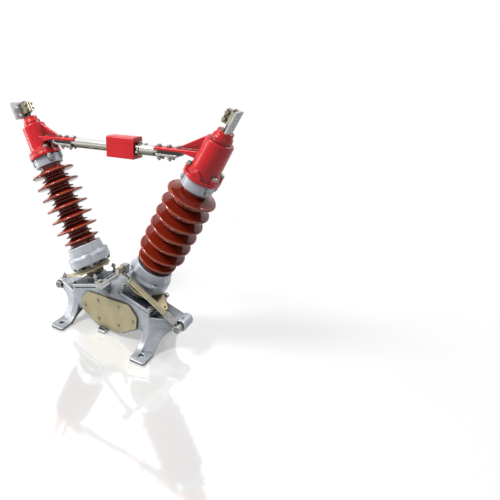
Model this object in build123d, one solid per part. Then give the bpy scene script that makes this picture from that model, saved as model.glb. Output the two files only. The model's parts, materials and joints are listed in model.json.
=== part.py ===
from build123d import *
import math
import os

# One pole of a centre-break outdoor disconnect switch. Two post insulators stand in a V
# on a cast base. Each column turns about its own leaning axis, and its arm carries one
# half of the contact. Millimetres, +Z up, +X to the right column, -Y to the cover side.
# The origin is on the floor, at the centre of the four foot holes.

# Columns: lean, and where each axis meets the lower end of the porcelain
LEAN = 26.5
POST_X = 190.0
POST_Z = 350.0

# Porcelain post, with heights measured along its axis from its lower end
POST_LENGTH = 378.0
CORE_R = 46.0
LOWER_BARREL_R = 58.0
SHED_R = 95.0
SMALL_SHED_R = 62.0
LOWEST_SHED_R = 81.0
SHED_COUNT = 7
TOP_SHED_DROP = 35.5
LOWEST_SHED_RISE = 24.5
SHED_TIP_R = 4.5
SMALL_TIP_R = 3.0
SHED_ROOT_SHARE = 0.4
SHED_ROOT_FALL = 8.0
SMALL_ROOT_FALL = 3.0

# Metal flange under the post
FOOT_FLANGE_H = 88.0
FOOT_BARREL_R = 76.0
FOOT_BARREL_LOW_R = 81.0
FOOT_BARREL_H = 42.0
FOOT_SKIRT_R = 91.0
FOOT_SHOULDER_H = 10.0
FOOT_BOSS_R = 12.5
FOOT_BOSS_PITCH_R = 81.0
FOOT_BOSS_START = 45.0
CUP_DEPTH = 12.0

# Metal flange over the post
HEAD_FLANGE_H = 42.0
HEAD_FLANGE_R = 61.0
HEAD_BOSS_H = 18.0

# Bolts through the upper flange and the cap: two pairs, each this far off the arm's line
HEAD_BOLT_ANGLE = 30.0
HEAD_BOLT_PITCH_R = 60.0
HEAD_BOSS_R = 11.0

# Levelling studs, spindle and lever plate under each post
STUD_R = 7.0
STUD_H = 12.0
STUD_PITCH_R = 62.0
SPINDLE_PLATE_R = 76.0
SPINDLE_PLATE_H = 12.0
LEVER_PLATE_H = 8.0
LEVER_TIP_REACH = 132.0
LEVER_TIP_Y = -38.0
LEVER_TIP_R = 12.0
LEVER_HUB_R = 78.0
LEVER_HOLE_R = 5.0
SPINDLE_NECK_R = 40.0
SPINDLE_NECK_H = 22.0
SHAFT_R = 25.0
SHAFT_H = 80.0
SHAFT_FIT = 0.3
TURN_GAP = 5.0

# Bearing seats on the two sloping faces of the base, with distances down the slope
SEAT_T = 14.0
SEAT_MIDDLE = 138.0
SEAT_HALF_L = 80.0
SEAT_HALF_Y = 76.0
SEAT_CORNER_R = 14.0
SEAT_BOSS_R = 46.0

# Base casting: gear housing
ROOF_LEAN = 16.5
ROOF_TOP_Z = 222.0
ROOF_EDGE_R = 10.0
BODY_HALF_X = 204.0
BODY_HALF_Y = 73.0
BODY_FLOOR_Z = 12.0
BODY_FLOOR_HALF_X = 66.0
BODY_WAIST_X = 150.0
BODY_WAIST_Z = 63.0
FRONT_LUG_X = -28.0
FRONT_LUG_HALF_X = 24.0
FRONT_LUG_Y = -106.0
FRONT_LUG_Z = 3.0
FRONT_LUG_T = 12.0
FRONT_LUG_CORNER_R = 10.0
FRONT_LUG_HOLE_R = 6.0

# Base casting: end walls, legs and feet
END_T = 18.0
LEG_TOP_Z = 150.0
LEG_KNEE_Z = 105.0
LEG_SHIN_Y = 88.0
LEG_SHIN_Z = 55.0
LEG_TOE_Y = 140.0
LEG_STRIP_W = 28.0
LEG_STRIP_T = 9.0
ARCH_HALF_Y = 98.0
ARCH_TOP_Z = 34.0
FOOT_HOLE_X = 214.0
FOOT_HOLE_Y = 147.0
FOOT_HOLE_R = 11.0
FOOT_PAD_HALF_X = 36.0
FOOT_PAD_IN_Y = 104.0
FOOT_PAD_OUT_Y = 186.0
FOOT_PAD_T = 14.0
FOOT_CORNER_R = 12.0

# Base casting: flared walls that run from the legs up to the ears
FLARE_LOW_Z = 8.0
FLARE_HIGH_Z = 104.0
FLARE_TOP_Z = 141.0
FLARE_STEPS = 6
FLARE_T = 11.0
FLARE_ROOT_SPREAD = 61.0
FLARE_ROOT_POWER = 2.0
FLARE_FOOT_X = 250.0
FLARE_TIP_X = 314.0
FLARE_TIP_POWER = 3.0
FLARE_TIP_Y = 33.0
FLARE_TIP_SPREAD = 79.0
FLARE_SPREAD_POWER = 1.5
EAR_PLATE_T = 12.0
EAR_X = 326.0
EAR_Z = 124.0
EAR_R = 25.0
EAR_HALF_Y = 34.0
EAR_PIN_FIT = 0.3
EAR_PIN_R = 8.0
EAR_PIN_HEAD_R = 17.0
EAR_PIN_HEAD_H = 9.0
EAR_PIN_WASHER_R = 10.0
EAR_PIN_WASHER_T = 4.0

# Gear covers at the front and the rear of the base
COVER_T = 8.0
COVER_TOP_HALF_X = 110.0
COVER_TOP_Z = 171.0
COVER_SHOULDER_X = 150.0
COVER_SHOULDER_Z = 125.0
COVER_HIP_X = 145.0
COVER_HIP_Z = 70.0
COVER_LOW_HALF_X = 56.0
COVER_LOW_Z = 16.0
COVER_CORNER_R = 24.0
COVER_MIDDLE_Z = 101.0
COVER_HOLE_X = 53.5
COVER_HOLE_Z = 44.5
COVER_END_HOLE_X = 128.0
COVER_HOLE_R = 4.5

# Stay rod in front of the right column, from a bracket on the ridge to the right ear
ROD_R = 11.0
ROD_STUD_R = 5.0
ROD_STUD_L = 60.0
ROD_TOP_X = 118.0
ROD_TOP_Z = 361.0
ROD_TOP_Y = -140.0
ROD_EYE_R = 14.0
ROD_EYE_T = 20.0
ROD_SLEEVE_R = 14.0
ROD_SLEEVE_L = 80.0
ROD_NECK_R = 6.5
ROD_NECK_L = 26.0
BRACKET_W = 26.0
BRACKET_T = 12.0
BRACKET_LEFT_X = -26.0
BRACKET_FOOT_X = 8.0
BRACKET_FOOT_Z = 250.0
BRACKET_HEAD_HALF = 12.0
SPACER_R = 9.0
SPACER_L = 6.0
BRACKET_SLOT_R = 4.0
BRACKET_SLOT_L = 26.0
CORBEL_LOW_Z = 185.0
CORBEL_TOE_H = 15.0
CORBEL_BACK_Y = 60.0
CORBEL_WEB_X = 50.0
CORBEL_WEB_T = 12.0

# Caps, arms and tubes
CAP_FLANGE_R = 70.0
CAP_FLANGE_H = 14.0
CAP_BELL_R = 62.0
CAP_BELL_H = 30.0
CAP_BODY_R = 54.0
CAP_TOP_R = 50.0
CAP_H = 146.0
CAP_RIM = 4.0
CAP_BOSS_H = 30.0
CAP_PAD_R = 21.0
CAP_PAD_REACH = 66.0
NECK_R = 37.0
NECK_STEP_H = 15.0
NECK_TAPER_H = 10.0
NECK_TOP_R = 30.0
NECK_H = 37.0
ARM_TOP_Z = 820.0
ARM_T = 10.0
ARM_TIP_X = 190.0
ARM_FLAT_L = 118.0
ARM_ROOT_X = 400.0
ARM_TIP_HALF_Y = 22.0
ARM_ROOT_HALF_Y = 34.0
ARM_ROOT_DROP = 24.0
GUSSET_T = 10.0
GUSSET_FOOT_X = 275.0
GUSSET_TOP_X = 392.0
GUSSET_TOP_Z = 872.0
TUBE_R = 20.0
TUBE_Z = 802.0
TONGUE_T = 12.0
TONGUE_HALF_Y = 19.0
TONGUE_ROOT_X = 306.0
CLAMP_T = 8.0
CLAMP_HALF_Y = 26.0
CLAMP_END_GAP = 14.0

# Contact: hood and fingers on the left arm, blade on the right arm
HOOD_LEFT_X = -14.0
HOOD_RIGHT_X = 113.0
HOOD_HALF_Y = 30.0
HOOD_BOTTOM_Z = 766.0
HOOD_TOP_Z = 846.0
HOOD_WALL = 4.0
HOOD_EDGE_R = 8.0
HOOD_SLOT_Y = 16.0
HOOD_SLOT_HALF_H = 14.0
BLADE_TIP_X = 34.0
BLADE_T = 12.0
BLADE_HALF_Y = 12.0
BLADE_COLLAR_X = 128.0
COLLAR_T = 8.0
COLLAR_R = 24.0
FINGER_GAP = 2.0
FINGER_T = 7.0
FINGER_W = 8.0
FINGER_PITCH = 10.0
FINGER_COUNT = 3
FINGER_TIP_X = 66.0
FINGER_BLOCK_X = 4.0
FINGER_BLOCK_L = 16.0

# Terminals on the caps
TERM_STUD_R = 10.0
TERM_STUD_FIT = 0.3
TERM_STUD_DEPTH = 44.0
TERM_STUD_PROUD = 8.0
TERM_CLAMP_GAP = 20.0
TERM_CLAMP_R = 17.0
TERM_CLAMP_H = 46.0
TERM_FLAT_X = 14.0
TERM_LUG_T = 9.0
TERM_LUG_L = 12.0
TERM_SLOT = 4.0
PALM_GAP = 5.0
PALM_T = 7.0
PALM_H = 75.0
PALM_HALF_Y = 31.0
PALM_Y = -30.0
PALM_CORNER_R = 7.0
PALM_HOLE_R = 6.5
PALM_HOLE_PITCH = 36.0
PALM_HOLE_RISE = 37.0

# Heights along each column axis, worked down and up from the porcelain
SKIRT_LOW = -FOOT_FLANGE_H
SPINDLE_TOP = SKIRT_LOW - STUD_H
LEVER_TOP = SPINDLE_TOP - SPINDLE_PLATE_H
LEVER_LOW = LEVER_TOP - LEVER_PLATE_H
NECK_LOW = LEVER_LOW - SPINDLE_NECK_H
SEAT_TOP = NECK_LOW - TURN_GAP
HEAD_LOW = POST_LENGTH
HEAD_TOP = HEAD_LOW + HEAD_FLANGE_H
CAP_TOP = HEAD_TOP + CAP_H
CAP_NECK_TOP = CAP_TOP + NECK_H
TERM_CLAMP_LOW = CAP_NECK_TOP + TERM_CLAMP_GAP
TERM_CLAMP_TOP = TERM_CLAMP_LOW + TERM_CLAMP_H
PALM_LOW = CAP_NECK_TOP + PALM_GAP

# Sheds at an even pitch between the top one and the lowest
SHED_PITCH = (POST_LENGTH - TOP_SHED_DROP - LOWEST_SHED_RISE) / (SHED_COUNT - 1)

# How far a cut, or a piece fused to another, runs past their shared face
LAP = 1.0

# Rod bracket's rising bar: where its head starts, and its slope
BRACKET_HEAD_X = ROD_TOP_X - BRACKET_HEAD_HALF
BRACKET_HEAD_LOW_Z = ROD_TOP_Z - 2 * BRACKET_HEAD_HALF
BRACKET_SLOPE = (BRACKET_HEAD_LOW_Z - BRACKET_FOOT_Z) / (BRACKET_HEAD_X - BRACKET_FOOT_X)

# Front face of the rod bracket, behind the rod's eye and its spacer
BRACKET_FRONT_Y = ROD_TOP_Y + ROD_EYE_T / 2 + SPACER_L

COLUMN = Location((POST_X, 0, POST_Z), (0, LEAN, 0))
ROOF = Location((0, 0, ROOF_TOP_Z), (0, ROOF_LEAN, 0))


def drum(radius, low, high):
    """Cylinder about Z between two heights."""
    return Pos(0, 0, (low + high) / 2) * Cylinder(radius, high - low)


def turned(points):
    """Solid of revolution about Z from radius and height pairs, closed along the axis."""
    return revolve(make_face(Polyline(*[(r, 0, z) for r, z in points], close=True)), Axis.Z)


def ring_of(shape, radius, count, start):
    """Copies of a shape at even angles on a circle about Z."""
    return [Rot(0, 0, start + 360 / count * i) * (Pos(radius, 0, 0) * shape) for i in range(count)]


def block(x0, x1, y0, y1, z0, z1):
    """Box between two corners."""
    return Pos((x0 + x1) / 2, (y0 + y1) / 2, (z0 + z1) / 2) * Box(x1 - x0, y1 - y0, z1 - z0)


def slab_xz(points, y0, y1):
    """Outline in the XZ plane, as a slab between two Y values."""
    outline = make_face(Polyline(*[(x, y0, z) for x, z in points], close=True))
    return extrude(outline, y1 - y0, dir=(0, 1, 0))


def slab_yz(points, x0, x1):
    """Outline in the YZ plane, as a slab between two X values."""
    outline = make_face(Polyline(*[(x0, y, z) for y, z in points], close=True))
    return extrude(outline, x1 - x0, dir=(1, 0, 0))


def slab_xy(points, z0, z1):
    """Outline in the XY plane, as a slab between two heights."""
    outline = make_face(Polyline(*[(x, y, z0) for x, y in points], close=True))
    return extrude(outline, z1 - z0, dir=(0, 0, 1))


def shed_edges(tip_r, height, round_r, root_fall, low_root_r):
    """Edges of one shed, from its upper root out round the tip and back to its lower root."""
    root_rise = SHED_ROOT_SHARE * SHED_PITCH * (tip_r - CORE_R) / (SHED_R - CORE_R)
    top_root = (CORE_R, 0, height + root_rise)
    top_tip = (tip_r - round_r, 0, height + round_r)
    low_tip = (tip_r - round_r, 0, height - round_r)
    low_root = (low_root_r, 0, height - root_fall)
    return top_root, low_root, [Line(top_root, top_tip), ThreePointArc(top_tip, (tip_r, 0, height), low_tip),
                                Line(low_tip, low_root)]


def porcelain_post():
    """Post with large and small sheds by turns, the lowest one a size smaller, over a barrel."""
    sheds = []
    for i in range(SHED_COUNT - 1):
        height = POST_LENGTH - TOP_SHED_DROP - i * SHED_PITCH
        sheds.append((SHED_R, height, SHED_TIP_R, SHED_ROOT_FALL, CORE_R))
        sheds.append((SMALL_SHED_R, height - SHED_PITCH / 2, SMALL_TIP_R, SMALL_ROOT_FALL, CORE_R))
    sheds.append((LOWEST_SHED_R, LOWEST_SHED_RISE, SHED_TIP_R, SHED_ROOT_FALL, LOWER_BARREL_R))
    last = (CORE_R, 0, POST_LENGTH)
    edges = [Line((0, 0, POST_LENGTH), last)]
    for shed in sheds:
        top_root, low_root, outline = shed_edges(*shed)
        edges.append(Line(last, top_root))
        edges.extend(outline)
        last = low_root
    barrel_low = (LOWER_BARREL_R, 0, -CUP_DEPTH)
    edges.append(Line(last, barrel_low))
    edges.append(Line(barrel_low, (0, 0, -CUP_DEPTH)))
    edges.append(Line((0, 0, -CUP_DEPTH), (0, 0, POST_LENGTH)))
    return revolve(make_face(Curve() + edges), Axis.Z)


def head_bolt_spots(shape):
    """Copies of a shape at the four bolts that hold a cap on its post."""
    spots = []
    for side in (0, 180):
        for sign in (-1, 1):
            spots.append(Rot(0, 0, side + sign * HEAD_BOLT_ANGLE) * (Pos(HEAD_BOLT_PITCH_R, 0, 0) * shape))
    return spots


def bottom_flange():
    """Cup that the post is cemented into, with a sloping shoulder, a wide skirt and four bosses."""
    shoulder_low = -FOOT_BARREL_H - FOOT_SHOULDER_H
    body = turned([(0, SKIRT_LOW), (FOOT_SKIRT_R, SKIRT_LOW), (FOOT_SKIRT_R, shoulder_low),
                   (FOOT_BARREL_LOW_R, -FOOT_BARREL_H), (FOOT_BARREL_R, 0), (0, 0)])
    boss = drum(FOOT_BOSS_R, SKIRT_LOW, -FOOT_BARREL_H)
    for spot in ring_of(boss, FOOT_BOSS_PITCH_R, 4, FOOT_BOSS_START):
        body += spot
    return body - drum(LOWER_BARREL_R, -CUP_DEPTH, 0)


def top_flange():
    """Round flange over the post, with four bolt bosses."""
    body = drum(HEAD_FLANGE_R, HEAD_LOW, HEAD_TOP)
    for boss in head_bolt_spots(drum(HEAD_BOSS_R, HEAD_TOP - HEAD_BOSS_H, HEAD_TOP)):
        body += boss
    return body


def levelling_studs():
    """Four short studs between the post's flange and the spindle plate."""
    return Compound(ring_of(drum(STUD_R, SPINDLE_TOP, SKIRT_LOW), STUD_PITCH_R, 4, 0))


def spindle():
    """Turning plate, neck and shaft of one column."""
    plate = drum(SPINDLE_PLATE_R, LEVER_TOP, SPINDLE_TOP)
    neck = drum(SPINDLE_NECK_R, NECK_LOW, LEVER_TOP)
    return plate + neck + drum(SHAFT_R, NECK_LOW - SHAFT_H, NECK_LOW)


def lever_plate():
    """Flat plate clamped under the spindle plate, drawn out to a rounded tip with a pin hole."""
    span = math.hypot(LEVER_TIP_REACH, LEVER_TIP_Y)
    turn = math.degrees(math.atan2(LEVER_TIP_Y, LEVER_TIP_REACH))
    spread = math.degrees(math.acos((LEVER_HUB_R - LEVER_TIP_R) / span))
    corners = []
    for sign in (1, -1):
        angle = math.radians(turn + sign * spread)
        corners.append((LEVER_HUB_R * math.cos(angle), LEVER_HUB_R * math.sin(angle)))
    for sign in (-1, 1):
        angle = math.radians(turn + sign * spread)
        corners.append((LEVER_TIP_REACH + LEVER_TIP_R * math.cos(angle),
                        LEVER_TIP_Y + LEVER_TIP_R * math.sin(angle)))
    tip = Pos(LEVER_TIP_REACH, LEVER_TIP_Y, 0)
    plate = slab_xy(corners, LEVER_LOW, LEVER_TOP) + drum(LEVER_HUB_R, LEVER_LOW, LEVER_TOP)
    plate += tip * drum(LEVER_TIP_R, LEVER_LOW, LEVER_TOP)
    plate -= tip * drum(LEVER_HOLE_R, LEVER_LOW, LEVER_TOP)
    return plate - drum(SPINDLE_NECK_R, LEVER_LOW, LEVER_TOP)


def shaft_bore(low, high):
    """Bore for the right column's shaft, between two heights along its axis."""
    return COLUMN * drum(SHAFT_R + SHAFT_FIT, low, high)


def bearing_seat():
    """Plate on the base's sloping face, with a round boss that squares it to the leaning shaft."""
    half_run = SEAT_MIDDLE + SEAT_HALF_L
    plate = block(SEAT_MIDDLE - SEAT_HALF_L, half_run, -SEAT_HALF_Y, SEAT_HALF_Y, 0, SEAT_T)
    plate = ROOF * fillet(plate.edges().filter_by(Axis.Z), SEAT_CORNER_R)
    over_roof = ROOF * block(0, half_run, -SEAT_HALF_Y, SEAT_HALF_Y, 0, SEAT_HALF_L)
    boss = COLUMN * drum(SEAT_BOSS_R, SEAT_TOP - SEAT_HALF_L, SEAT_TOP) & over_roof
    return plate + boss - shaft_bore(SEAT_TOP - SEAT_HALF_L, SEAT_TOP + LAP)


def roof_height(x):
    """Height of the base's sloping faces over a distance from its middle."""
    return ROOF_TOP_Z - abs(x) * math.tan(math.radians(ROOF_LEAN))


def gear_housing():
    """Gear housing with a shallow roof of two slopes, rounded along its front and rear edges."""
    eave_z = roof_height(BODY_HALF_X)
    half = [(BODY_FLOOR_HALF_X, BODY_FLOOR_Z), (BODY_WAIST_X, BODY_WAIST_Z), (BODY_HALF_X, BODY_WAIST_Z),
            (BODY_HALF_X, eave_z)]
    other_half = [(-x, z) for x, z in reversed(half)]
    body = slab_xz(half + [(0, ROOF_TOP_Z)] + other_half, -BODY_HALF_Y, BODY_HALF_Y)
    rims = body.edges().filter_by(lambda edge: edge.center().Z > eave_z)
    return fillet(rims.filter_by(lambda edge: abs(edge.center().Y) > BODY_HALF_Y / 2), ROOF_EDGE_R)


def leg_edges(x, inset):
    """A leg's front edge seen from its end, from its top to its toe, moved in by an inset."""
    top = (x, inset - BODY_HALF_Y, LEG_TOP_Z)
    knee = (x, inset - BODY_HALF_Y, LEG_KNEE_Z - inset)
    shin = (x, inset - LEG_SHIN_Y, LEG_SHIN_Z - inset)
    toe = (x, inset - LEG_TOE_Y, FOOT_PAD_T - inset)
    return top, toe, [Line(top, knee), ThreePointArc(knee, shin, toe)]


def front_leg():
    """Front half of the right end wall, its leg's wide front strip, and the foot."""
    wall_x = BODY_HALF_X - END_T
    top, toe, edges = leg_edges(wall_x, 0)
    edges += [Line(toe, (wall_x, -LEG_TOE_Y, 0)), Line((wall_x, -LEG_TOE_Y, 0), (wall_x, 0, 0)),
              Line((wall_x, 0, 0), (wall_x, 0, LEG_TOP_Z)), Line((wall_x, 0, LEG_TOP_Z), top)]
    leg = extrude(make_face(Curve() + edges), END_T, dir=(1, 0, 0))
    strip_x = BODY_HALF_X - LEG_STRIP_W
    top, toe, outer = leg_edges(strip_x, 0)
    inner_top, inner_toe, inner = leg_edges(strip_x, LEG_STRIP_T)
    strip = make_face(Curve() + outer + inner + [Line(top, inner_top), Line(toe, inner_toe)])
    leg += extrude(strip, LEG_STRIP_W, dir=(1, 0, 0))
    pad = block(FOOT_HOLE_X - FOOT_PAD_HALF_X, FOOT_HOLE_X + FOOT_PAD_HALF_X, -FOOT_PAD_OUT_Y, -FOOT_PAD_IN_Y,
                0, FOOT_PAD_T)
    pad = fillet(pad.edges().filter_by(Axis.Z), FOOT_CORNER_R)
    return leg + pad - Pos(FOOT_HOLE_X, -FOOT_HOLE_Y, 0) * drum(FOOT_HOLE_R, 0, FOOT_PAD_T)


def flare_section(share, z):
    """Cut through the front flared wall, at a share of the way from the foot up to the ear."""
    rest = 1 - share
    root_y = -BODY_HALF_Y - FLARE_ROOT_SPREAD * rest ** FLARE_ROOT_POWER
    tip_x = FLARE_FOOT_X + (FLARE_TIP_X - FLARE_FOOT_X) * share ** FLARE_TIP_POWER
    tip_y = -FLARE_TIP_Y - FLARE_TIP_SPREAD * rest ** FLARE_SPREAD_POWER
    root_x = BODY_HALF_X - LAP
    return make_face(Polyline((root_x, root_y, z), (tip_x, tip_y, z), (tip_x, tip_y + FLARE_T, z),
                              (root_x, root_y + FLARE_T, z), close=True))


def flared_wall():
    """Wall that sweeps from the front foot up to the right ear."""
    sections = []
    for i in range(FLARE_STEPS + 1):
        share = i / FLARE_STEPS
        sections.append(flare_section(share, FLARE_LOW_Z + share * (FLARE_HIGH_Z - FLARE_LOW_Z)))
    sections.append(flare_section(1, FLARE_TOP_Z))
    return loft(sections, ruled=True)


def end_frame():
    """Right end of the base: two legs with their feet, flared walls, and the ear they carry."""
    half = front_leg() + flared_wall()
    frame = half + mirror(half, Plane.XZ)
    arch_r = (ARCH_HALF_Y ** 2 + ARCH_TOP_Z ** 2) / (2 * ARCH_TOP_Z)
    arch = Pos(BODY_HALF_X - END_T / 2, 0, ARCH_TOP_Z - arch_r) * Rot(0, 90, 0)
    frame -= arch * Cylinder(arch_r, END_T + 2 * LAP)
    root_y = BODY_HALF_Y - FLARE_T / 2
    tip_y = FLARE_TIP_Y - FLARE_T / 2
    frame += slab_xy([(BODY_HALF_X - LAP, -root_y), (FLARE_TIP_X, -tip_y), (FLARE_TIP_X, tip_y),
                      (BODY_HALF_X - LAP, root_y)], FLARE_TOP_Z - EAR_PLATE_T, FLARE_TOP_Z)
    ear = Pos(EAR_X, 0, EAR_Z) * Rot(90, 0, 0)
    frame += ear * Cylinder(EAR_R, 2 * EAR_HALF_Y)
    return frame - ear * Cylinder(EAR_PIN_R + EAR_PIN_FIT, 2 * EAR_HALF_Y)


def ridge_corbel():
    """Corbel in front of the ridge, with a short web under the rod bracket's rising bar."""
    corbel = slab_yz([(LAP - BODY_HALF_Y, CORBEL_LOW_Z), (BRACKET_FRONT_Y, BRACKET_FOOT_Z - CORBEL_TOE_H),
                      (BRACKET_FRONT_Y, BRACKET_FOOT_Z), (-CORBEL_BACK_Y, BRACKET_FOOT_Z),
                      (-CORBEL_BACK_Y, CORBEL_LOW_Z)], BRACKET_LEFT_X, BRACKET_FOOT_X)
    web_z = BRACKET_FOOT_Z + (CORBEL_WEB_X - BRACKET_FOOT_X) * BRACKET_SLOPE
    web = slab_xz([(BRACKET_FOOT_X, BRACKET_FOOT_Z - CORBEL_TOE_H), (BRACKET_FOOT_X, BRACKET_FOOT_Z),
                   (CORBEL_WEB_X, web_z), (CORBEL_WEB_X, web_z - CORBEL_TOE_H)],
                  BRACKET_FRONT_Y, BRACKET_FRONT_Y + CORBEL_WEB_T)
    return corbel + web


def front_lug():
    """Flat lug under the front cover, with one hole."""
    lug = block(FRONT_LUG_X - FRONT_LUG_HALF_X, FRONT_LUG_X + FRONT_LUG_HALF_X, FRONT_LUG_Y, -CORBEL_BACK_Y,
                FRONT_LUG_Z, FRONT_LUG_Z + FRONT_LUG_T)
    corners = lug.edges().filter_by(Axis.Z).filter_by(lambda edge: edge.center().Y < -BODY_HALF_Y)
    lug = fillet(corners, FRONT_LUG_CORNER_R)
    hole_y = (FRONT_LUG_Y - BODY_HALF_Y) / 2
    return lug - Pos(FRONT_LUG_X, hole_y, FRONT_LUG_Z) * drum(FRONT_LUG_HOLE_R, 0, FRONT_LUG_T)


def base_casting():
    """Gear housing between two legged ends with ears, with the corbel and lug on its front."""
    end = end_frame()
    casting = gear_housing() + end + mirror(end, Plane.YZ) + ridge_corbel() + front_lug()
    bore = shaft_bore(NECK_LOW - SHAFT_H - TURN_GAP, SEAT_TOP)
    return casting - bore - mirror(bore, Plane.YZ)


def gear_cover(y0, y1):
    """Eight-sided cover plate with rounded corners and six screw holes."""
    half = [(COVER_LOW_HALF_X, COVER_LOW_Z), (COVER_HIP_X, COVER_HIP_Z), (COVER_SHOULDER_X, COVER_SHOULDER_Z),
            (COVER_TOP_HALF_X, COVER_TOP_Z)]
    plate = slab_xz(half + [(-x, z) for x, z in reversed(half)], y0, y1)
    plate = fillet(plate.edges().filter_by(Axis.Y), COVER_CORNER_R)
    spots = []
    for side in (-1, 1):
        spots.append((side * COVER_END_HOLE_X, COVER_MIDDLE_Z))
        for rise in (-COVER_HOLE_Z, COVER_HOLE_Z):
            spots.append((side * COVER_HOLE_X, COVER_MIDDLE_Z + rise))
    for x, z in spots:
        plate -= Pos(x, (y0 + y1) / 2, z) * Rot(90, 0, 0) * Cylinder(COVER_HOLE_R, y1 - y0)
    return plate


def ear_pin(side, held):
    """Headed pin with a washer through one ear along Y, with what it holds in front of the ear."""
    front = EAR_HALF_Y + held + EAR_PIN_WASHER_T
    pin = drum(EAR_PIN_R, -EAR_HALF_Y, front)
    pin += drum(EAR_PIN_WASHER_R, EAR_HALF_Y + held, front)
    pin += drum(EAR_PIN_HEAD_R, front, front + EAR_PIN_HEAD_H)
    return Pos(side * EAR_X, 0, EAR_Z) * Rot(90, 0, 0) * pin


def cap():
    """Red cap over the right post: bolted flange, bell, tall body and bored neck."""
    flange_top = HEAD_TOP + CAP_FLANGE_H
    neck_step = CAP_TOP + NECK_STEP_H
    body = turned([(0, HEAD_TOP), (CAP_FLANGE_R, HEAD_TOP), (CAP_FLANGE_R, flange_top),
                   (CAP_BELL_R, flange_top), (CAP_BODY_R, flange_top + CAP_BELL_H),
                   (CAP_TOP_R, CAP_TOP - CAP_RIM), (CAP_TOP_R - CAP_RIM, CAP_TOP), (NECK_R, CAP_TOP),
                   (NECK_R, neck_step), (NECK_TOP_R, neck_step + NECK_TAPER_H),
                   (NECK_TOP_R, CAP_NECK_TOP), (0, CAP_NECK_TOP)])
    for boss in head_bolt_spots(drum(HEAD_BOSS_R, HEAD_TOP, HEAD_TOP + CAP_BOSS_H)):
        body += boss
    pad = block(-CAP_PAD_R, CAP_PAD_R, -CAP_PAD_REACH, CAP_PAD_REACH, HEAD_TOP, flange_top)
    pad += Pos(0, 0, flange_top) * Rot(90, 0, 0) * Cylinder(CAP_PAD_R, 2 * CAP_PAD_REACH)
    body += pad & block(-CAP_PAD_R, CAP_PAD_R, -CAP_PAD_REACH, CAP_PAD_REACH, HEAD_TOP, CAP_TOP)
    body -= drum(TERM_STUD_R + TERM_STUD_FIT, CAP_NECK_TOP - TERM_STUD_DEPTH, CAP_NECK_TOP + LAP)
    return COLUMN * body


def arm():
    """Tapered arm plate with an upright gusset, from the right cap towards the middle."""
    low = ARM_TOP_Z - ARM_T
    side_view = [(ARM_TIP_X, low), (ARM_TIP_X + ARM_FLAT_L, low), (ARM_ROOT_X, low - ARM_ROOT_DROP),
                 (ARM_ROOT_X, ARM_TOP_Z), (ARM_TIP_X, ARM_TOP_Z)]
    plan = [(ARM_TIP_X, -ARM_TIP_HALF_Y), (ARM_ROOT_X, -ARM_ROOT_HALF_Y),
            (ARM_ROOT_X, ARM_ROOT_HALF_Y), (ARM_TIP_X, ARM_TIP_HALF_Y)]
    plate = slab_xz(side_view, -ARM_ROOT_HALF_Y, ARM_ROOT_HALF_Y)
    plate &= slab_xy(plan, low - ARM_ROOT_DROP, ARM_TOP_Z)
    gusset = slab_xz([(GUSSET_FOOT_X, ARM_TOP_Z - LAP), (ARM_ROOT_X, ARM_TOP_Z - LAP),
                      (ARM_ROOT_X, GUSSET_TOP_Z), (GUSSET_TOP_X, GUSSET_TOP_Z)],
                     -GUSSET_T / 2, GUSSET_T / 2)
    return plate + gusset


def contact_tube(end_x):
    """Round tube with a flattened tongue that bolts under the arm plate."""
    length = ARM_TIP_X - end_x
    outer = Pos((ARM_TIP_X + end_x) / 2, 0, TUBE_Z) * Rot(0, 90, 0) * Cylinder(TUBE_R, length)
    tongue_top = ARM_TOP_Z - ARM_T
    tongue = block(ARM_TIP_X - LAP, TONGUE_ROOT_X, -TONGUE_HALF_Y, TONGUE_HALF_Y,
                   tongue_top - TONGUE_T, tongue_top)
    return outer + tongue


def tube_clamp():
    """Clamp plate under the tube's tongue."""
    top = ARM_TOP_Z - ARM_T - TONGUE_T
    return block(ARM_TIP_X + CLAMP_END_GAP, TONGUE_ROOT_X - CLAMP_END_GAP, -CLAMP_HALF_Y, CLAMP_HALF_Y,
                 top - CLAMP_T, top)


def contact_hood():
    """Hood over the contact, open behind and below, with the blade's slot in its right wall."""
    outer = block(HOOD_LEFT_X, HOOD_RIGHT_X, -HOOD_HALF_Y, HOOD_HALF_Y, HOOD_BOTTOM_Z, HOOD_TOP_Z)
    along_x = outer.edges().filter_by(Axis.X)
    outer = fillet(along_x.filter_by(lambda edge: edge.center().Z > TUBE_Z), HOOD_EDGE_R)
    inner = block(HOOD_LEFT_X + HOOD_WALL, HOOD_RIGHT_X - HOOD_WALL, -HOOD_HALF_Y + HOOD_WALL,
                  HOOD_HALF_Y + LAP, HOOD_BOTTOM_Z - LAP, HOOD_TOP_Z - HOOD_WALL)
    slot = block(HOOD_RIGHT_X - 2 * HOOD_WALL, HOOD_RIGHT_X + LAP, -HOOD_SLOT_Y, HOOD_HALF_Y + LAP,
                 TUBE_Z - HOOD_SLOT_HALF_H, TUBE_Z + HOOD_SLOT_HALF_H)
    hood = outer - inner - slot
    return hood - Pos(HOOD_LEFT_X, 0, TUBE_Z) * Rot(0, 90, 0) * Cylinder(TUBE_R, 4 * HOOD_WALL)


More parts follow.
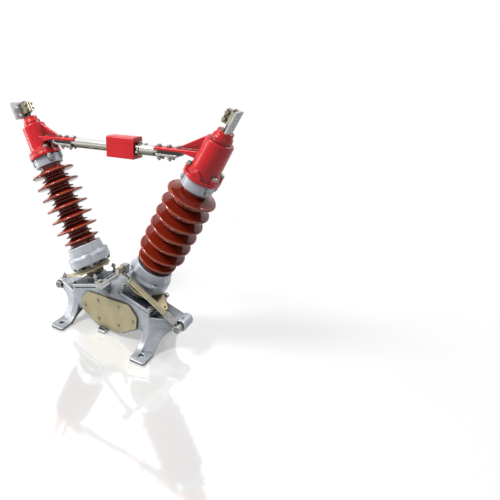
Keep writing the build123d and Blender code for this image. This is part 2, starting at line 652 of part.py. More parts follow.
def contact_fingers():
    """Finger block on the tube's end, with two rows of fingers over and under the blade."""
    half_w = (FINGER_COUNT - 1) / 2 * FINGER_PITCH + FINGER_W / 2
    reach = BLADE_T / 2 + FINGER_GAP + FINGER_T
    body = block(FINGER_BLOCK_X, FINGER_BLOCK_X + FINGER_BLOCK_L, -half_w, half_w,
                 TUBE_Z - reach, TUBE_Z + reach)
    for i in range(FINGER_COUNT):
        y = (i - (FINGER_COUNT - 1) / 2) * FINGER_PITCH
        for sign in (-1, 1):
            z0, z1 = sorted((TUBE_Z + sign * reach, TUBE_Z + sign * (reach - FINGER_T)))
            body += block(FINGER_BLOCK_X, FINGER_TIP_X, y - FINGER_W / 2, y + FINGER_W / 2, z0, z1)
    return body


def contact_blade():
    """Flat blade with a round collar on the right tube's end."""
    blade = block(BLADE_TIP_X, BLADE_COLLAR_X, -BLADE_HALF_Y, BLADE_HALF_Y,
                  TUBE_Z - BLADE_T / 2, TUBE_Z + BLADE_T / 2)
    collar = Rot(0, 90, 0) * Cylinder(COLLAR_R, COLLAR_T)
    return blade + Pos(BLADE_COLLAR_X - COLLAR_T / 2, 0, TUBE_Z) * collar


def terminal_stud():
    """Round stud that turns in the cap's neck."""
    low = CAP_NECK_TOP - TERM_STUD_DEPTH + TURN_GAP
    return drum(TERM_STUD_R, low, TERM_CLAMP_TOP + TERM_STUD_PROUD)


def terminal_clamp():
    """Split clamp round the stud, flat on its outer side, with two bolt lugs towards the middle."""
    reach = TERM_CLAMP_R + TERM_LUG_L
    half_lug = TERM_LUG_T + TERM_SLOT / 2
    body = drum(TERM_CLAMP_R, TERM_CLAMP_LOW, TERM_CLAMP_TOP)
    body -= block(0, TERM_CLAMP_R, -TERM_CLAMP_R, TERM_CLAMP_R, TERM_CLAMP_LOW, TERM_CLAMP_TOP)
    body += block(0, TERM_FLAT_X, -TERM_CLAMP_R, TERM_CLAMP_R, TERM_CLAMP_LOW, TERM_CLAMP_TOP)
    body += block(-reach, 0, -half_lug, half_lug, TERM_CLAMP_LOW, TERM_CLAMP_TOP)
    body -= block(-reach - LAP, 0, -TERM_SLOT / 2, TERM_SLOT / 2, TERM_CLAMP_LOW - LAP, TERM_CLAMP_TOP + LAP)
    return body - drum(TERM_STUD_R, TERM_CLAMP_LOW, TERM_CLAMP_TOP)


def palm_plate():
    """Terminal palm on the clamp's flat, set off to the front, with two bolt holes."""
    plate = block(TERM_FLAT_X, TERM_FLAT_X + PALM_T, PALM_Y - PALM_HALF_Y, PALM_Y + PALM_HALF_Y,
                  PALM_LOW, PALM_LOW + PALM_H)
    plate = fillet(plate.edges().filter_by(Axis.X), PALM_CORNER_R)
    hole = Rot(0, 90, 0) * Cylinder(PALM_HOLE_R, PALM_T)
    for end in (-1, 1):
        hole_z = PALM_LOW + PALM_HOLE_RISE + end * PALM_HOLE_PITCH / 2
        plate -= Pos(TERM_FLAT_X + PALM_T / 2, PALM_Y, hole_z) * hole
    return plate


def rod_line():
    """Upper end of the stay rod, its lower end on the right ear pin, and its length."""
    top = Vector(ROD_TOP_X, ROD_TOP_Y, ROD_TOP_Z)
    end = Vector(EAR_X, -EAR_HALF_Y - ROD_EYE_T / 2, EAR_Z)
    return top, end, (end - top).length


def rod_eye(centre):
    """Round eye about Y."""
    return Pos(*centre) * Rot(90, 0, 0) * Cylinder(ROD_EYE_R, ROD_EYE_T)


def stay_rod():
    """Straight rod with a thinner threaded end and an eye at its top."""
    top, end, length = rod_line()
    place = Plane(origin=top, z_dir=end - top).location
    rod = place * drum(ROD_STUD_R, 0, ROD_STUD_L) + place * drum(ROD_R, ROD_STUD_L, length - ROD_SLEEVE_L)
    return rod + rod_eye(top)


def rod_sleeve():
    """Threaded sleeve and eye that hold the rod's lower end on the ear pin."""
    top, end, length = rod_line()
    place = Plane(origin=top, z_dir=end - top).location
    sleeve = place * drum(ROD_SLEEVE_R, length - ROD_SLEEVE_L, length - ROD_NECK_L)
    sleeve += place * drum(ROD_NECK_R, length - ROD_NECK_L, length) + rod_eye(end)
    return sleeve - Pos(*end) * Rot(90, 0, 0) * Cylinder(EAR_PIN_R + EAR_PIN_FIT, 2 * ROD_EYE_T)


def rod_bracket():
    """Slotted bar that rises from the ridge lug to the rod's upper eye, with a spacer there."""
    head_right = ROD_TOP_X + BRACKET_HEAD_HALF
    head_top = ROD_TOP_Z + BRACKET_HEAD_HALF
    outline = [(BRACKET_LEFT_X, BRACKET_FOOT_Z), (BRACKET_FOOT_X, BRACKET_FOOT_Z),
               (BRACKET_HEAD_X, BRACKET_HEAD_LOW_Z), (head_right, BRACKET_HEAD_LOW_Z),
               (head_right, head_top), (BRACKET_HEAD_X, head_top),
               (BRACKET_HEAD_X, BRACKET_HEAD_LOW_Z + BRACKET_T),
               (BRACKET_FOOT_X, BRACKET_FOOT_Z + BRACKET_T), (BRACKET_LEFT_X, BRACKET_FOOT_Z + BRACKET_T)]
    bar = slab_xz(outline, BRACKET_FRONT_Y, BRACKET_FRONT_Y + BRACKET_W)
    spacer = Cylinder(SPACER_R, SPACER_L)
    bar += Pos(ROD_TOP_X, BRACKET_FRONT_Y - SPACER_L / 2, ROD_TOP_Z) * Rot(90, 0, 0) * spacer
    middle_x = (BRACKET_FOOT_X + BRACKET_HEAD_X) / 2
    slot_y = BRACKET_FRONT_Y + BRACKET_W / 2
    middle_z = (BRACKET_FOOT_Z + BRACKET_HEAD_LOW_Z + BRACKET_T) / 2
    slot = block(-BRACKET_SLOT_L / 2, BRACKET_SLOT_L / 2, -BRACKET_SLOT_R, BRACKET_SLOT_R,
                 -2 * BRACKET_T, 2 * BRACKET_T)
    return bar - Pos(middle_x, slot_y, middle_z) * slot


def save(shape, name):
    """Write one node."""
    export_step(shape, os.path.join("parts", name + ".step"))


def both_sides(shape, name):
    """Write a column's piece and its mirror image."""
    save(COLUMN * shape, name + "_right")
    save(mirror(COLUMN * shape, Plane.YZ), name + "_left")


os.makedirs("parts", exist_ok=True)

save(base_casting(), "base_casting")
save(gear_cover(-BODY_HALF_Y - COVER_T, -BODY_HALF_Y), "front_cover")
save(gear_cover(BODY_HALF_Y, BODY_HALF_Y + COVER_T), "rear_cover")
save(bearing_seat(), "bearing_seat_right")
save(mirror(bearing_seat(), Plane.YZ), "bearing_seat_left")
save(ear_pin(1, ROD_EYE_T), "ear_pin_right")
save(ear_pin(-1, 0), "ear_pin_left")
save(rod_bracket(), "rod_bracket")
save(stay_rod(), "stay_rod")
save(rod_sleeve(), "rod_sleeve")

both_sides(spindle(), "spindle")
both_sides(lever_plate(), "lever_plate")
both_sides(levelling_studs(), "levelling_studs")
both_sides(bottom_flange(), "bottom_flange")
both_sides(porcelain_post(), "porcelain_post")
both_sides(top_flange(), "top_flange")

right_cap = cap() + (arm() - COLUMN * drum(TERM_STUD_R + TERM_STUD_FIT, 0, 2 * POST_LENGTH))
save(right_cap, "cap_right")
save(mirror(right_cap, Plane.YZ), "cap_left")
save(tube_clamp(), "tube_clamp_right")
save(mirror(tube_clamp(), Plane.YZ), "tube_clamp_left")
save(contact_tube(BLADE_COLLAR_X), "contact_tube_right")
save(mirror(contact_tube(-FINGER_BLOCK_X), Plane.YZ), "contact_tube_left")
save(contact_hood(), "contact_hood")
save(contact_fingers(), "contact_fingers")
save(contact_blade(), "contact_blade")

both_sides(terminal_stud(), "terminal_stud")
both_sides(terminal_clamp(), "terminal_clamp")
both_sides(palm_plate(), "palm_plate")
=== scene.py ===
# %% [markdown]
# # One pole of a disconnect switch
# This lesson dresses a CAD model in Blender. Two brown post insulators lean apart in a V on a
# cast base. Each one turns about its own leaning axis, and the two arms on top meet at a
# red contact box. The CAD frame gives every size and place, so we only add looks: finishes,
# rounded edges, bolts and threads. All sizes are in metres.

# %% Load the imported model
import json
import math

import bmesh
import bpy
import numpy as np
from mathutils import Matrix, Vector


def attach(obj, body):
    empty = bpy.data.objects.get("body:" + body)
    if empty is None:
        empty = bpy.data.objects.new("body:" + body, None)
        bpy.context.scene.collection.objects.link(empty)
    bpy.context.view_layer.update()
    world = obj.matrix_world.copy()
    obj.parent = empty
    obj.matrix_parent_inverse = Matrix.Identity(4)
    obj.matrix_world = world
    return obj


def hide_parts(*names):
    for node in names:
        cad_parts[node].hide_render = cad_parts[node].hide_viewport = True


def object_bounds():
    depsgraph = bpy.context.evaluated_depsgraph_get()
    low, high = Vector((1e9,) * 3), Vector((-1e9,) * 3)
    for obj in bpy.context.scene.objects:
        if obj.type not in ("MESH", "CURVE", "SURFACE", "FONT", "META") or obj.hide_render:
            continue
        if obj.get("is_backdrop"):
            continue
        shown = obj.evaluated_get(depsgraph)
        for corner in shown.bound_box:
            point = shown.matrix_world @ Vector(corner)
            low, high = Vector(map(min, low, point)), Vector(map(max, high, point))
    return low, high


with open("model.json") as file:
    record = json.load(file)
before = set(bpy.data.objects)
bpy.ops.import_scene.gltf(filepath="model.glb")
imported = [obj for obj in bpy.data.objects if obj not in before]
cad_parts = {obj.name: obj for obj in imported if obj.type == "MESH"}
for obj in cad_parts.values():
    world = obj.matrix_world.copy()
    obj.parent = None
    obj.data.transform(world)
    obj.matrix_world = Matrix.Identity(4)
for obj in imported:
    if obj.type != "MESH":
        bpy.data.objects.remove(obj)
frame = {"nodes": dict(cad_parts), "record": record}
cad_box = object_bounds()
nodes = frame["nodes"]
record = frame["record"]
body_of = {node: body for body, members in record["behaviour"]["bodies"].items()
           for node in members}
slot_of = {part["node"]: part["material_slot"] for part in record["subparts"]}
print("nodes:", len(nodes), "bodies:", sorted(set(body_of.values())))

# %% [markdown]
# ## The camera
# The photograph was taken from the front right and from above. A camera can be fitted to it
# from known lengths: the foot holes, the leaning axes and the sheds. The fit gives a place, a
# direction and a focal length in pixels. The object stands left of the picture's middle. A
# shifted lens puts it there and keeps the perspective, but the shift stays when the camera
# goes round to other sides, and those views would cut the object. A turned camera cuts
# nothing there, but it stretches the object towards the edge of the picture. So the fit uses
# both: a turn for a part of the way, and a shift for the rest.

# %% Camera at the photograph's angle
PICTURE_PX = 500
FOCAL_PX = 390.65
AXIS_PX = (155.0, 215.71)
SENSOR_MM = 36.0
PITCH_DOWN = 18.974
YAW = 31.805
CAMERA_PLACE = (0.93791, -1.20942, 1.04097)

camera_data = bpy.data.cameras.new("photo_camera")
camera_data.sensor_width = SENSOR_MM
camera_data.lens = FOCAL_PX / PICTURE_PX * SENSOR_MM
camera_data.shift_x = 0.5 - AXIS_PX[0] / PICTURE_PX
camera_data.shift_y = AXIS_PX[1] / PICTURE_PX - 0.5
camera = bpy.data.objects.new("photo_camera", camera_data)
camera.location = CAMERA_PLACE
camera.rotation_euler = (math.radians(90 - PITCH_DOWN), 0, math.radians(YAW))
bpy.context.scene.collection.objects.link(camera)
bpy.context.scene.camera = camera
print("lens", round(camera_data.lens, 2), "mm, shift", round(camera_data.shift_x, 3))

# %% [markdown]
# ## A node tree in a few lines
# Every finish below is a small tree of shader nodes. One helper adds a node, sets its inputs
# by name and links what is given as a socket. It keeps each finish short enough to read, and
# it works for geometry nodes as well.


# %% Helpers: add a node, a material and a colour ramp
def put(tree, kind, inputs=None, **settings):
    """Add a node, set its own settings, and set or link its inputs by name or number."""
    node = tree.nodes.new(kind)
    for name, value in settings.items():
        setattr(node, name, value)
    for name, value in (inputs or {}).items():
        if isinstance(value, bpy.types.NodeSocket):
            tree.links.new(value, node.inputs[name])
        else:
            node.inputs[name].default_value = value
    return node


def new_material(name):
    """An empty material with its output node, ready for a finish."""
    material = bpy.data.materials.new(name)
    material.use_nodes = True
    tree = material.node_tree
    tree.nodes.clear()
    return material, tree, put(tree, "ShaderNodeOutputMaterial")


def ramp(tree, value, stops):
    """A colour ramp through the given places and linear colours."""
    node = put(tree, "ShaderNodeValToRGB", {"Fac": value})
    while len(node.color_ramp.elements) < len(stops):
        node.color_ramp.elements.new(0.5)
    for element, (place, colour) in zip(node.color_ramp.elements, stops):
        element.position = place
        element.color = (*colour, 1)
    return node.outputs["Color"]


# %% [markdown]
# ## Floor and sky
# The object was photographed in a white studio. More light would make the floor white, but it
# would wash the object out too. So the Light Path node tells the rays apart: the camera, and
# reflections in metal and glaze, see white, while light that bounces onto the object stays
# dim. Near the object the floor still takes its shadow and a faint mirror image. Further out
# it fades into plain white, so no horizon shows.

# %% Helper: rays that see white
WHITE = (1, 1, 1, 1)


def even_grey(level):
    """The same level of red, green and blue."""
    return (level, level, level, 1)


def seen_ray(tree):
    """One for rays from the camera, or through a reflection or glass, and nought for the rest."""
    path = put(tree, "ShaderNodeLightPath")
    first = put(tree, "ShaderNodeMath", {0: path.outputs["Is Camera Ray"],
                                         1: path.outputs["Is Glossy Ray"]}, operation="MAXIMUM")
    return put(tree, "ShaderNodeMath", {0: first.outputs[0],
                                        1: path.outputs["Is Transmission Ray"]},
               operation="MAXIMUM").outputs[0]


# %% White sky
SKY_TINT = (0.93, 0.96, 1.0, 1)
SKY_FILL = 0.16

world = bpy.data.worlds.new("studio")
bpy.context.scene.world = world
world.use_nodes = True
sky = world.node_tree
sky.nodes.clear()
fill = put(sky, "ShaderNodeBackground", {"Color": SKY_TINT, "Strength": SKY_FILL})
white = put(sky, "ShaderNodeBackground", {"Color": WHITE, "Strength": 1.0})
sky_mix = put(sky, "ShaderNodeMixShader", {0: seen_ray(sky), 1: fill.outputs[0],
                                           2: white.outputs[0]})
put(sky, "ShaderNodeOutputWorld", {"Surface": sky_mix.outputs[0]})
print("sky fill:", SKY_FILL)

# %% White floor
FLOOR_HALF = 14.0
FLOOR_Z = -0.0005
NEAR, FAR = 0.75, 1.9
FLOOR_GLOW = 0.42
FLOOR_SHADE = 0.38
FLOOR_SHINE = 0.27
FLOOR_ROUGH = 0.07
BOUNCE_TINT = (0.40, 0.40, 0.41, 1)

floor_mesh = bpy.data.meshes.new("floor")
floor_mesh.from_pydata([(x * FLOOR_HALF, y * FLOOR_HALF, FLOOR_Z)
                        for x, y in ((-1, -1), (1, -1), (1, 1), (-1, 1))], [], [(0, 1, 2, 3)])
floor = bpy.data.objects.new("floor", floor_mesh)
bpy.context.scene.collection.objects.link(floor)
floor_white, tree, output = new_material("floor_white")
place = put(tree, "ShaderNodeTexCoord").outputs["Object"]
reach = put(tree, "ShaderNodeVectorMath", {0: place}, operation="LENGTH").outputs["Value"]
away = put(tree, "ShaderNodeMapRange", {"Value": reach, "From Min": NEAR, "From Max": FAR},
           interpolation_type="SMOOTHSTEP").outputs["Result"]
bounce = put(tree, "ShaderNodeBsdfDiffuse", {"Color": BOUNCE_TINT})
shade = put(tree, "ShaderNodeBsdfDiffuse", {"Color": even_grey(FLOOR_SHADE)})
shine = put(tree, "ShaderNodeBsdfGlossy", {"Color": even_grey(FLOOR_SHINE),
                                           "Roughness": FLOOR_ROUGH})
glow = put(tree, "ShaderNodeEmission", {"Color": WHITE, "Strength": FLOOR_GLOW})
plain = put(tree, "ShaderNodeEmission", {"Color": WHITE, "Strength": 1.0})
lit = put(tree, "ShaderNodeAddShader", {0: shade.outputs[0], 1: glow.outputs[0]})
near_floor = put(tree, "ShaderNodeAddShader", {0: lit.outputs[0], 1: shine.outputs[0]})
faded = put(tree, "ShaderNodeMixShader", {0: away, 1: near_floor.outputs[0],
                                          2: plain.outputs[0]})
whole = put(tree, "ShaderNodeMixShader", {0: seen_ray(tree), 1: bounce.outputs[0],
                                          2: faded.outputs[0]})
tree.links.new(whole.outputs[0], output.inputs["Surface"])
floor_mesh.materials.append(floor_white)
floor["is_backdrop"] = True
print("floor fades from", NEAR, "to", FAR, "m")

# %% [markdown]
# ## Lamps
# The photograph's light comes from above and from the front left. Faces that look up or to
# the left are bright, the webs under the ears are dark, and each shed carries one streak of
# light. A soft lamp stands there. A tall strip lamp on each side draws an upright streak on
# all that is round and glossy, and a lamp behind draws the edges of the posts.

# %% Four lamps
MIDDLE = (0, 0, 0.5)


def soft_lamp(name, place, width, height, watts, tint):
    """A flat lamp that looks at the object's middle."""
    lamp = bpy.data.lights.new(name, "AREA")
    lamp.shape = "RECTANGLE"
    lamp.size = width
    lamp.size_y = height
    lamp.energy = watts
    lamp.color = tint
    holder = bpy.data.objects.new(name, lamp)
    holder.location = place
    holder.rotation_euler = (Vector(MIDDLE) - Vector(place)).to_track_quat("-Z", "Y").to_euler()
    bpy.context.scene.collection.objects.link(holder)


lamps = (("key_lamp", (-1.3, -1.5, 3.1), 0.8, 0.8, 104, (1.0, 0.98, 0.95)),
         ("strip_lamp", (-2.1, -0.7, 0.8), 0.25, 1.5, 16, (1.0, 1.0, 1.0)),
         ("side_lamp", (2.6, -1.6, 1.2), 0.2, 1.4, 3, (0.95, 0.98, 1.0)),
         ("back_lamp", (1.3, 2.1, 2.9), 0.6, 0.6, 36, (1.0, 1.0, 1.0)))
for lamp in lamps:
    soft_lamp(*lamp)
bpy.context.scene.view_settings.view_transform = "Standard"
print("lamps:", len(lamps))

# %% [markdown]
# ## Finishes for metal and paint
# Cast iron, zinc plate, tinned copper and gloss paint differ in how metallic they are, how
# rough, and how their colour drifts. One recipe covers them all. A wide noise drifts the
# colour between two tones, a fine noise varies the gloss, and a bump gives the grain. A bright
# tone, a painted highlight, follows an attribute called edge, which is above nought on outer
# edges. A dark tone, painted shade, lies in corners, where that attribute is below nought or
# the Ambient Occlusion node finds another surface close by.

# %% Recipe for cast, plated and painted metal
def mixed(tree, share, first, second):
    """A colour between two others, by a share from nought to one."""
    return put(tree, "ShaderNodeMix", {0: share, 6: first, 7: second}, data_type="RGBA").outputs[2]


def edge_share(tree, low, high):
    """How far the edge attribute has gone from one value to another, held between 0 and 1."""
    edge = put(tree, "ShaderNodeAttribute", attribute_name="edge")
    return put(tree, "ShaderNodeMapRange", {"Value": edge.outputs["Fac"], "From Min": low,
                                            "From Max": high}).outputs["Result"]


def grained(name, tone, second, rough, metal, grain, bump, drift, edge_highlight_tone, corner_shade_tone, shine, shade_reach):
    """A finish drifting between two tones, with grain, painted edge highlights and painted corner
    shade.
    """
    material, tree, output = new_material(name)
    place = put(tree, "ShaderNodeTexCoord").outputs["Object"]
    wide = put(tree, "ShaderNodeTexNoise", {"Vector": place, "Scale": drift, "Detail": 4.0,
                                            "Roughness": 0.6}).outputs["Fac"]
    fine = put(tree, "ShaderNodeTexNoise", {"Vector": place, "Scale": grain, "Detail": 3.0,
                                            "Roughness": 0.55}).outputs["Fac"]
    colour = ramp(tree, wide, [(0.34, second), (0.66, tone)])
    # Painted shade: corners that another surface comes near take the dark tone.
    free = put(tree, "ShaderNodeAmbientOcclusion", {"Distance": shade_reach}, samples=8).outputs["AO"]
    painted_corner_shade = put(tree, "ShaderNodeMapRange", {"Value": free, "From Min": 0.97,
                                              "From Max": 0.50}).outputs["Result"]
    colour = mixed(tree, painted_corner_shade, colour, (*corner_shade_tone, 1))
    # Painted shade in hollows, where edge is below nought, then a painted highlight on outer edges.
    colour = mixed(tree, edge_share(tree, -0.02, -0.09), colour, (*corner_shade_tone, 1))
    colour = mixed(tree, edge_share(tree, 0.05, 0.15), colour, (*edge_highlight_tone, 1))
    gloss = put(tree, "ShaderNodeMapRange", {"Value": fine, "From Min": 0.3, "From Max": 0.7,
                                             "To Min": rough[0], "To Max": rough[1]})
    height = put(tree, "ShaderNodeBump", {"Height": fine, "Strength": bump, "Distance": 0.0006})
    shader = put(tree, "ShaderNodeBsdfPrincipled", {
        "Base Color": colour, "Metallic": metal, "Roughness": gloss.outputs["Result"],
        "Normal": height.outputs["Normal"], "Specular IOR Level": shine})
    tree.links.new(shader.outputs[0], output.inputs["Surface"])
    return material


# %% The metal finishes
# A row gives the name, the main and second tones, the roughness from and to, metallic, the
# grain's scale, the bump, the drift's scale, the painted highlight tone for edges and the
# painted shade tone for corners, the specular level and the distance in which another surface
# paints shade into a corner.
recipes = {
    "cap_red": ("red_gloss_paint", (0.72, 0.007, 0.016), (0.62, 0.006, 0.013), (0.24, 0.32),
                0.0, 190, 0.03, 11, (0.88, 0.04, 0.05), (0.15, 0.002, 0.004), 0.42, 0.05),
    "casting_grey": ("grey_cast_metal", (0.60, 0.635, 0.68), (0.38, 0.42, 0.47), (0.26, 0.42),
                     0.15, 380, 0.40, 19, (0.90, 0.92, 0.94), (0.045, 0.06, 0.08), 0.5, 0.10),
    "flange_grey": ("grey_flange_metal", (0.62, 0.66, 0.71), (0.46, 0.50, 0.56), (0.28, 0.40),
                    0.12, 380, 0.30, 22, (0.86, 0.89, 0.92), (0.09, 0.11, 0.14), 0.5, 0.07),
    "yellow_zinc": ("yellow_zinc_plate", (0.56, 0.50, 0.31), (0.46, 0.41, 0.25), (0.30, 0.42),
                    0.15, 700, 0.12, 18, (0.66, 0.61, 0.42), (0.20, 0.17, 0.09), 0.4, 0.05),
    "lever_tan": ("tan_zinc_plate", (0.58, 0.47, 0.24), (0.46, 0.37, 0.19), (0.28, 0.42),
                  0.2, 700, 0.15, 22, (0.70, 0.60, 0.36), (0.16, 0.12, 0.05), 0.4, 0.05),
    "rod_tan": ("tan_zinc_rod", (0.66, 0.60, 0.40), (0.52, 0.46, 0.28), (0.26, 0.38),
                0.2, 800, 0.12, 26, (0.76, 0.70, 0.50), (0.20, 0.16, 0.08), 0.4, 0.05),
    "zinc_steel": ("bright_zinc_steel", (0.56, 0.56, 0.53), (0.38, 0.38, 0.35), (0.26, 0.38),
                   0.35, 800, 0.12, 60, (0.74, 0.73, 0.68), (0.07, 0.065, 0.055), 0.4, 0.02),
    "spindle_steel": ("turned_steel", (0.24, 0.22, 0.17), (0.14, 0.13, 0.10), (0.30, 0.42),
                      0.4, 900, 0.12, 40, (0.50, 0.47, 0.36), (0.03, 0.03, 0.02), 0.4, 0.05),
    "palm_silver": ("tinned_palm", (0.68, 0.69, 0.71), (0.60, 0.61, 0.63), (0.46, 0.54),
                    0.1, 300, 0.03, 30, (0.76, 0.77, 0.79), (0.34, 0.34, 0.35), 0.3, 0.02),
    "contact_silver": ("silvered_contact", (0.62, 0.59, 0.50), (0.44, 0.41, 0.33), (0.20, 0.30),
                       0.5, 700, 0.10, 30, (0.80, 0.78, 0.70), (0.10, 0.09, 0.06), 0.4, 0.05),
    "clamp_brass": ("nickelled_brass", (0.46, 0.42, 0.30), (0.27, 0.24, 0.16), (0.26, 0.40),
                    0.35, 600, 0.25, 60, (0.68, 0.64, 0.50), (0.04, 0.035, 0.02), 0.4, 0.02),
}
finishes = {slot: grained(*recipe) for slot, recipe in recipes.items()}
print("metal finishes:", len(finishes))

# %% [markdown]
# ## Bright drawn tube
# A drawn tube mirrors its surroundings in long bands. In a white studio there is little to
# mirror, so the tube would look flat. So the colour carries a painted reflection instead, in
# bands by height about the tube's middle, bright at the top and painted shade at the bottom.
# The flattened tongue of each tube lies in shade under its arm, so it takes a painted shade.
# Streaks run along the tube, from a noise that is stretched lengthwise.

# %% Tube with painted reflection bands by height, painted shade on its tongue, and streaks along it
TUBE_MIDDLE, TUBE_HALF = 0.802, 0.021
TONGUE_FROM, TONGUE_TO = 0.196, 0.212
# The second tone is painted shade for the flattened tongue under the arm.
WORN_TONE, TONGUE_SHADE_TONE = (0.55, 0.54, 0.47, 1), (0.055, 0.05, 0.04, 1)
# Painted reflection and shade: the tube's colour from its bottom up to its top.
PAINTED_REFLECTION_BANDS = [(0.0, (0.02, 0.02, 0.015)), (0.20, (0.13, 0.125, 0.085)), (0.42, (0.26, 0.25, 0.19)),
         (0.56, (0.70, 0.70, 0.66)), (0.68, (0.34, 0.34, 0.31)), (0.86, (0.80, 0.80, 0.78))]

tube, tree, output = new_material("bright_drawn_tube")
place = put(tree, "ShaderNodeTexCoord").outputs["Object"]
apart = put(tree, "ShaderNodeSeparateXYZ", {"Vector": place})
rise = put(tree, "ShaderNodeMath", {0: apart.outputs["Z"], 1: TUBE_MIDDLE}, operation="SUBTRACT")
band = put(tree, "ShaderNodeMapRange", {"Value": rise.outputs[0], "From Min": -TUBE_HALF,
                                        "From Max": TUBE_HALF}).outputs["Result"]
painted_reflection_bands = ramp(tree, band, PAINTED_REFLECTION_BANDS)
along = put(tree, "ShaderNodeMapping", {"Vector": place, "Scale": (4.0, 260.0, 260.0)}).outputs[0]
streak = put(tree, "ShaderNodeTexNoise", {"Vector": along, "Scale": 1.0,
                                          "Detail": 3.0}).outputs["Fac"]
worn = put(tree, "ShaderNodeMapRange", {"Value": streak, "From Min": 0.45, "From Max": 0.75,
                                        "To Min": 0.0, "To Max": 0.35}).outputs["Result"]
tone = mixed(tree, worn, painted_reflection_bands, WORN_TONE)
# Painted shade on the flattened tongue, found by the distance out from the middle.
outward = put(tree, "ShaderNodeMath", {0: apart.outputs["X"]}, operation="ABSOLUTE").outputs[0]
painted_tongue_shade = put(tree, "ShaderNodeMapRange", {"Value": outward, "From Min": TONGUE_FROM,
                                          "From Max": TONGUE_TO}).outputs["Result"]
tone = mixed(tree, painted_tongue_shade, tone, TONGUE_SHADE_TONE)
gloss = put(tree, "ShaderNodeMapRange", {"Value": streak, "To Min": 0.12,
                                         "To Max": 0.26}).outputs["Result"]
height = put(tree, "ShaderNodeBump", {"Height": streak, "Strength": 0.08, "Distance": 0.0004})
shader = put(tree, "ShaderNodeBsdfPrincipled", {"Base Color": tone, "Metallic": 0.7,
                                                "Roughness": gloss,
                                                "Normal": height.outputs["Normal"]})
tree.links.new(shader.outputs[0], output.inputs["Surface"])
finishes["tube_silver"] = tube
print("tube bands:", len(PAINTED_REFLECTION_BANDS))

# %% [markdown]
# ## Brown glaze
# Electrical porcelain is dipped in a brown glaze. It runs off sharp rims, so each shed ends in
# a thinner, redder line, which here also carries a painted highlight along the rim. The glaze
# is darker towards the core, and the narrow gaps between the sheds take a painted shade,
# almost black. The post pieces carry an attribute called rim for that, one on a rim and
# nought at the core.

# %% Glaze with a thin, lighter rim and a painted highlight there, and painted shade between sheds
# The last stop is thin glaze on the rim, and also a painted highlight along it.
CORE_TO_RIM_HIGHLIGHT = [(0.0, (0.19, 0.014, 0.006)), (0.45, (0.25, 0.021, 0.008)),
               (0.80, (0.27, 0.025, 0.009)), (0.98, (0.46, 0.080, 0.036))]
# The second tone is painted shade for the gaps between the sheds.
CLOUD_TONE, GAP_SHADE_TONE = (0.20, 0.013, 0.005, 1), (0.07, 0.005, 0.003, 1)

glaze, tree, output = new_material("brown_glaze")
place = put(tree, "ShaderNodeTexCoord").outputs["Object"]
cloud = put(tree, "ShaderNodeTexNoise", {"Vector": place, "Scale": 22.0,
                                         "Detail": 4.0}).outputs["Fac"]
ripple = put(tree, "ShaderNodeTexNoise", {"Vector": place, "Scale": 120.0,
                                          "Detail": 2.0}).outputs["Fac"]
rim = put(tree, "ShaderNodeAttribute", attribute_name="rim").outputs["Fac"]
glaze_and_rim_highlight = ramp(tree, rim, CORE_TO_RIM_HIGHLIGHT)
drift = put(tree, "ShaderNodeMapRange", {"Value": cloud, "From Min": 0.35, "From Max": 0.7,
                                         "To Min": 0.0, "To Max": 0.35}).outputs["Result"]
tone = mixed(tree, drift, glaze_and_rim_highlight, CLOUD_TONE)
# Painted shade: the Ambient Occlusion node darkens the glaze where the sheds close in.
gap = put(tree, "ShaderNodeAmbientOcclusion", {"Distance": 0.016}, only_local=True,
          samples=8).outputs["AO"]
painted_gap_shade = put(tree, "ShaderNodeMapRange", {"Value": gap, "From Min": 0.70,
                                        "From Max": 0.10}).outputs["Result"]
tone = mixed(tree, painted_gap_shade, tone, GAP_SHADE_TONE)
gloss = put(tree, "ShaderNodeMapRange", {"Value": ripple, "From Min": 0.3, "From Max": 0.7,
                                         "To Min": 0.08, "To Max": 0.14}).outputs["Result"]
height = put(tree, "ShaderNodeBump", {"Height": ripple, "Strength": 0.05, "Distance": 0.0008})
shader = put(tree, "ShaderNodeBsdfPrincipled", {"Base Color": tone, "Roughness": gloss,
                                                "Normal": height.outputs["Normal"],
                                                "Specular IOR Level": 0.42})
tree.links.new(shader.outputs[0], output.inputs["Surface"])
finishes["porcelain"] = glaze
for node, thing in nodes.items():
    thing.data.materials.clear()
    thing.data.materials.append(finishes[slot_of[node]])
print("finishes:", len(finishes))

# %% [markdown]
# ## From CAD solid to casting
# A CAD solid has knife edges, and a casting has none: sand and paint round them. A bevel
# needs clean edges and fails where many small faces meet. So each casting is wrapped again in
# small even squares, by a voxel Remesh, and the squares are smoothed a few times. That rounds
# every edge and fills every corner at once, as a foundry's fillets do. The curve of the new
# surface then gives the edge attribute.


# %% Helpers: take a CAD node's mesh, run modifiers, make a piece
WELD = 1e-5


def merged(node):
    """A CAD node's mesh with its loose triangles joined."""
    shape = bmesh.new()
    shape.from_mesh(nodes[node].data)
    bmesh.ops.remove_doubles(shape, verts=shape.verts, dist=WELD)
    return shape


def held(shape, name):
    """A bmesh as an object in the scene, ready for modifiers."""
    mesh = bpy.data.meshes.new(name)
    shape.to_mesh(mesh)
    shape.free()
    thing = bpy.data.objects.new(name, mesh)
    bpy.context.scene.collection.objects.link(thing)
    return thing


def worked(thing):
    """The plain mesh that an object's modifiers give. The object is removed."""
    graph = bpy.context.evaluated_depsgraph_get()
    mesh = bpy.data.meshes.new_from_object(thing.evaluated_get(graph), depsgraph=graph)
    bpy.data.objects.remove(thing)
    return mesh


def piece(name, mesh, body, slot, *replaced):
    """A finished piece that rides a body and stands for the CAD nodes that it replaces."""
    thing = bpy.data.objects.new(name, mesh)
    bpy.context.scene.collection.objects.link(thing)
    mesh.materials.clear()
    mesh.materials.append(finishes[slot])
    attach(thing, body)
    if replaced:
        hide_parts(*replaced)
    return thing


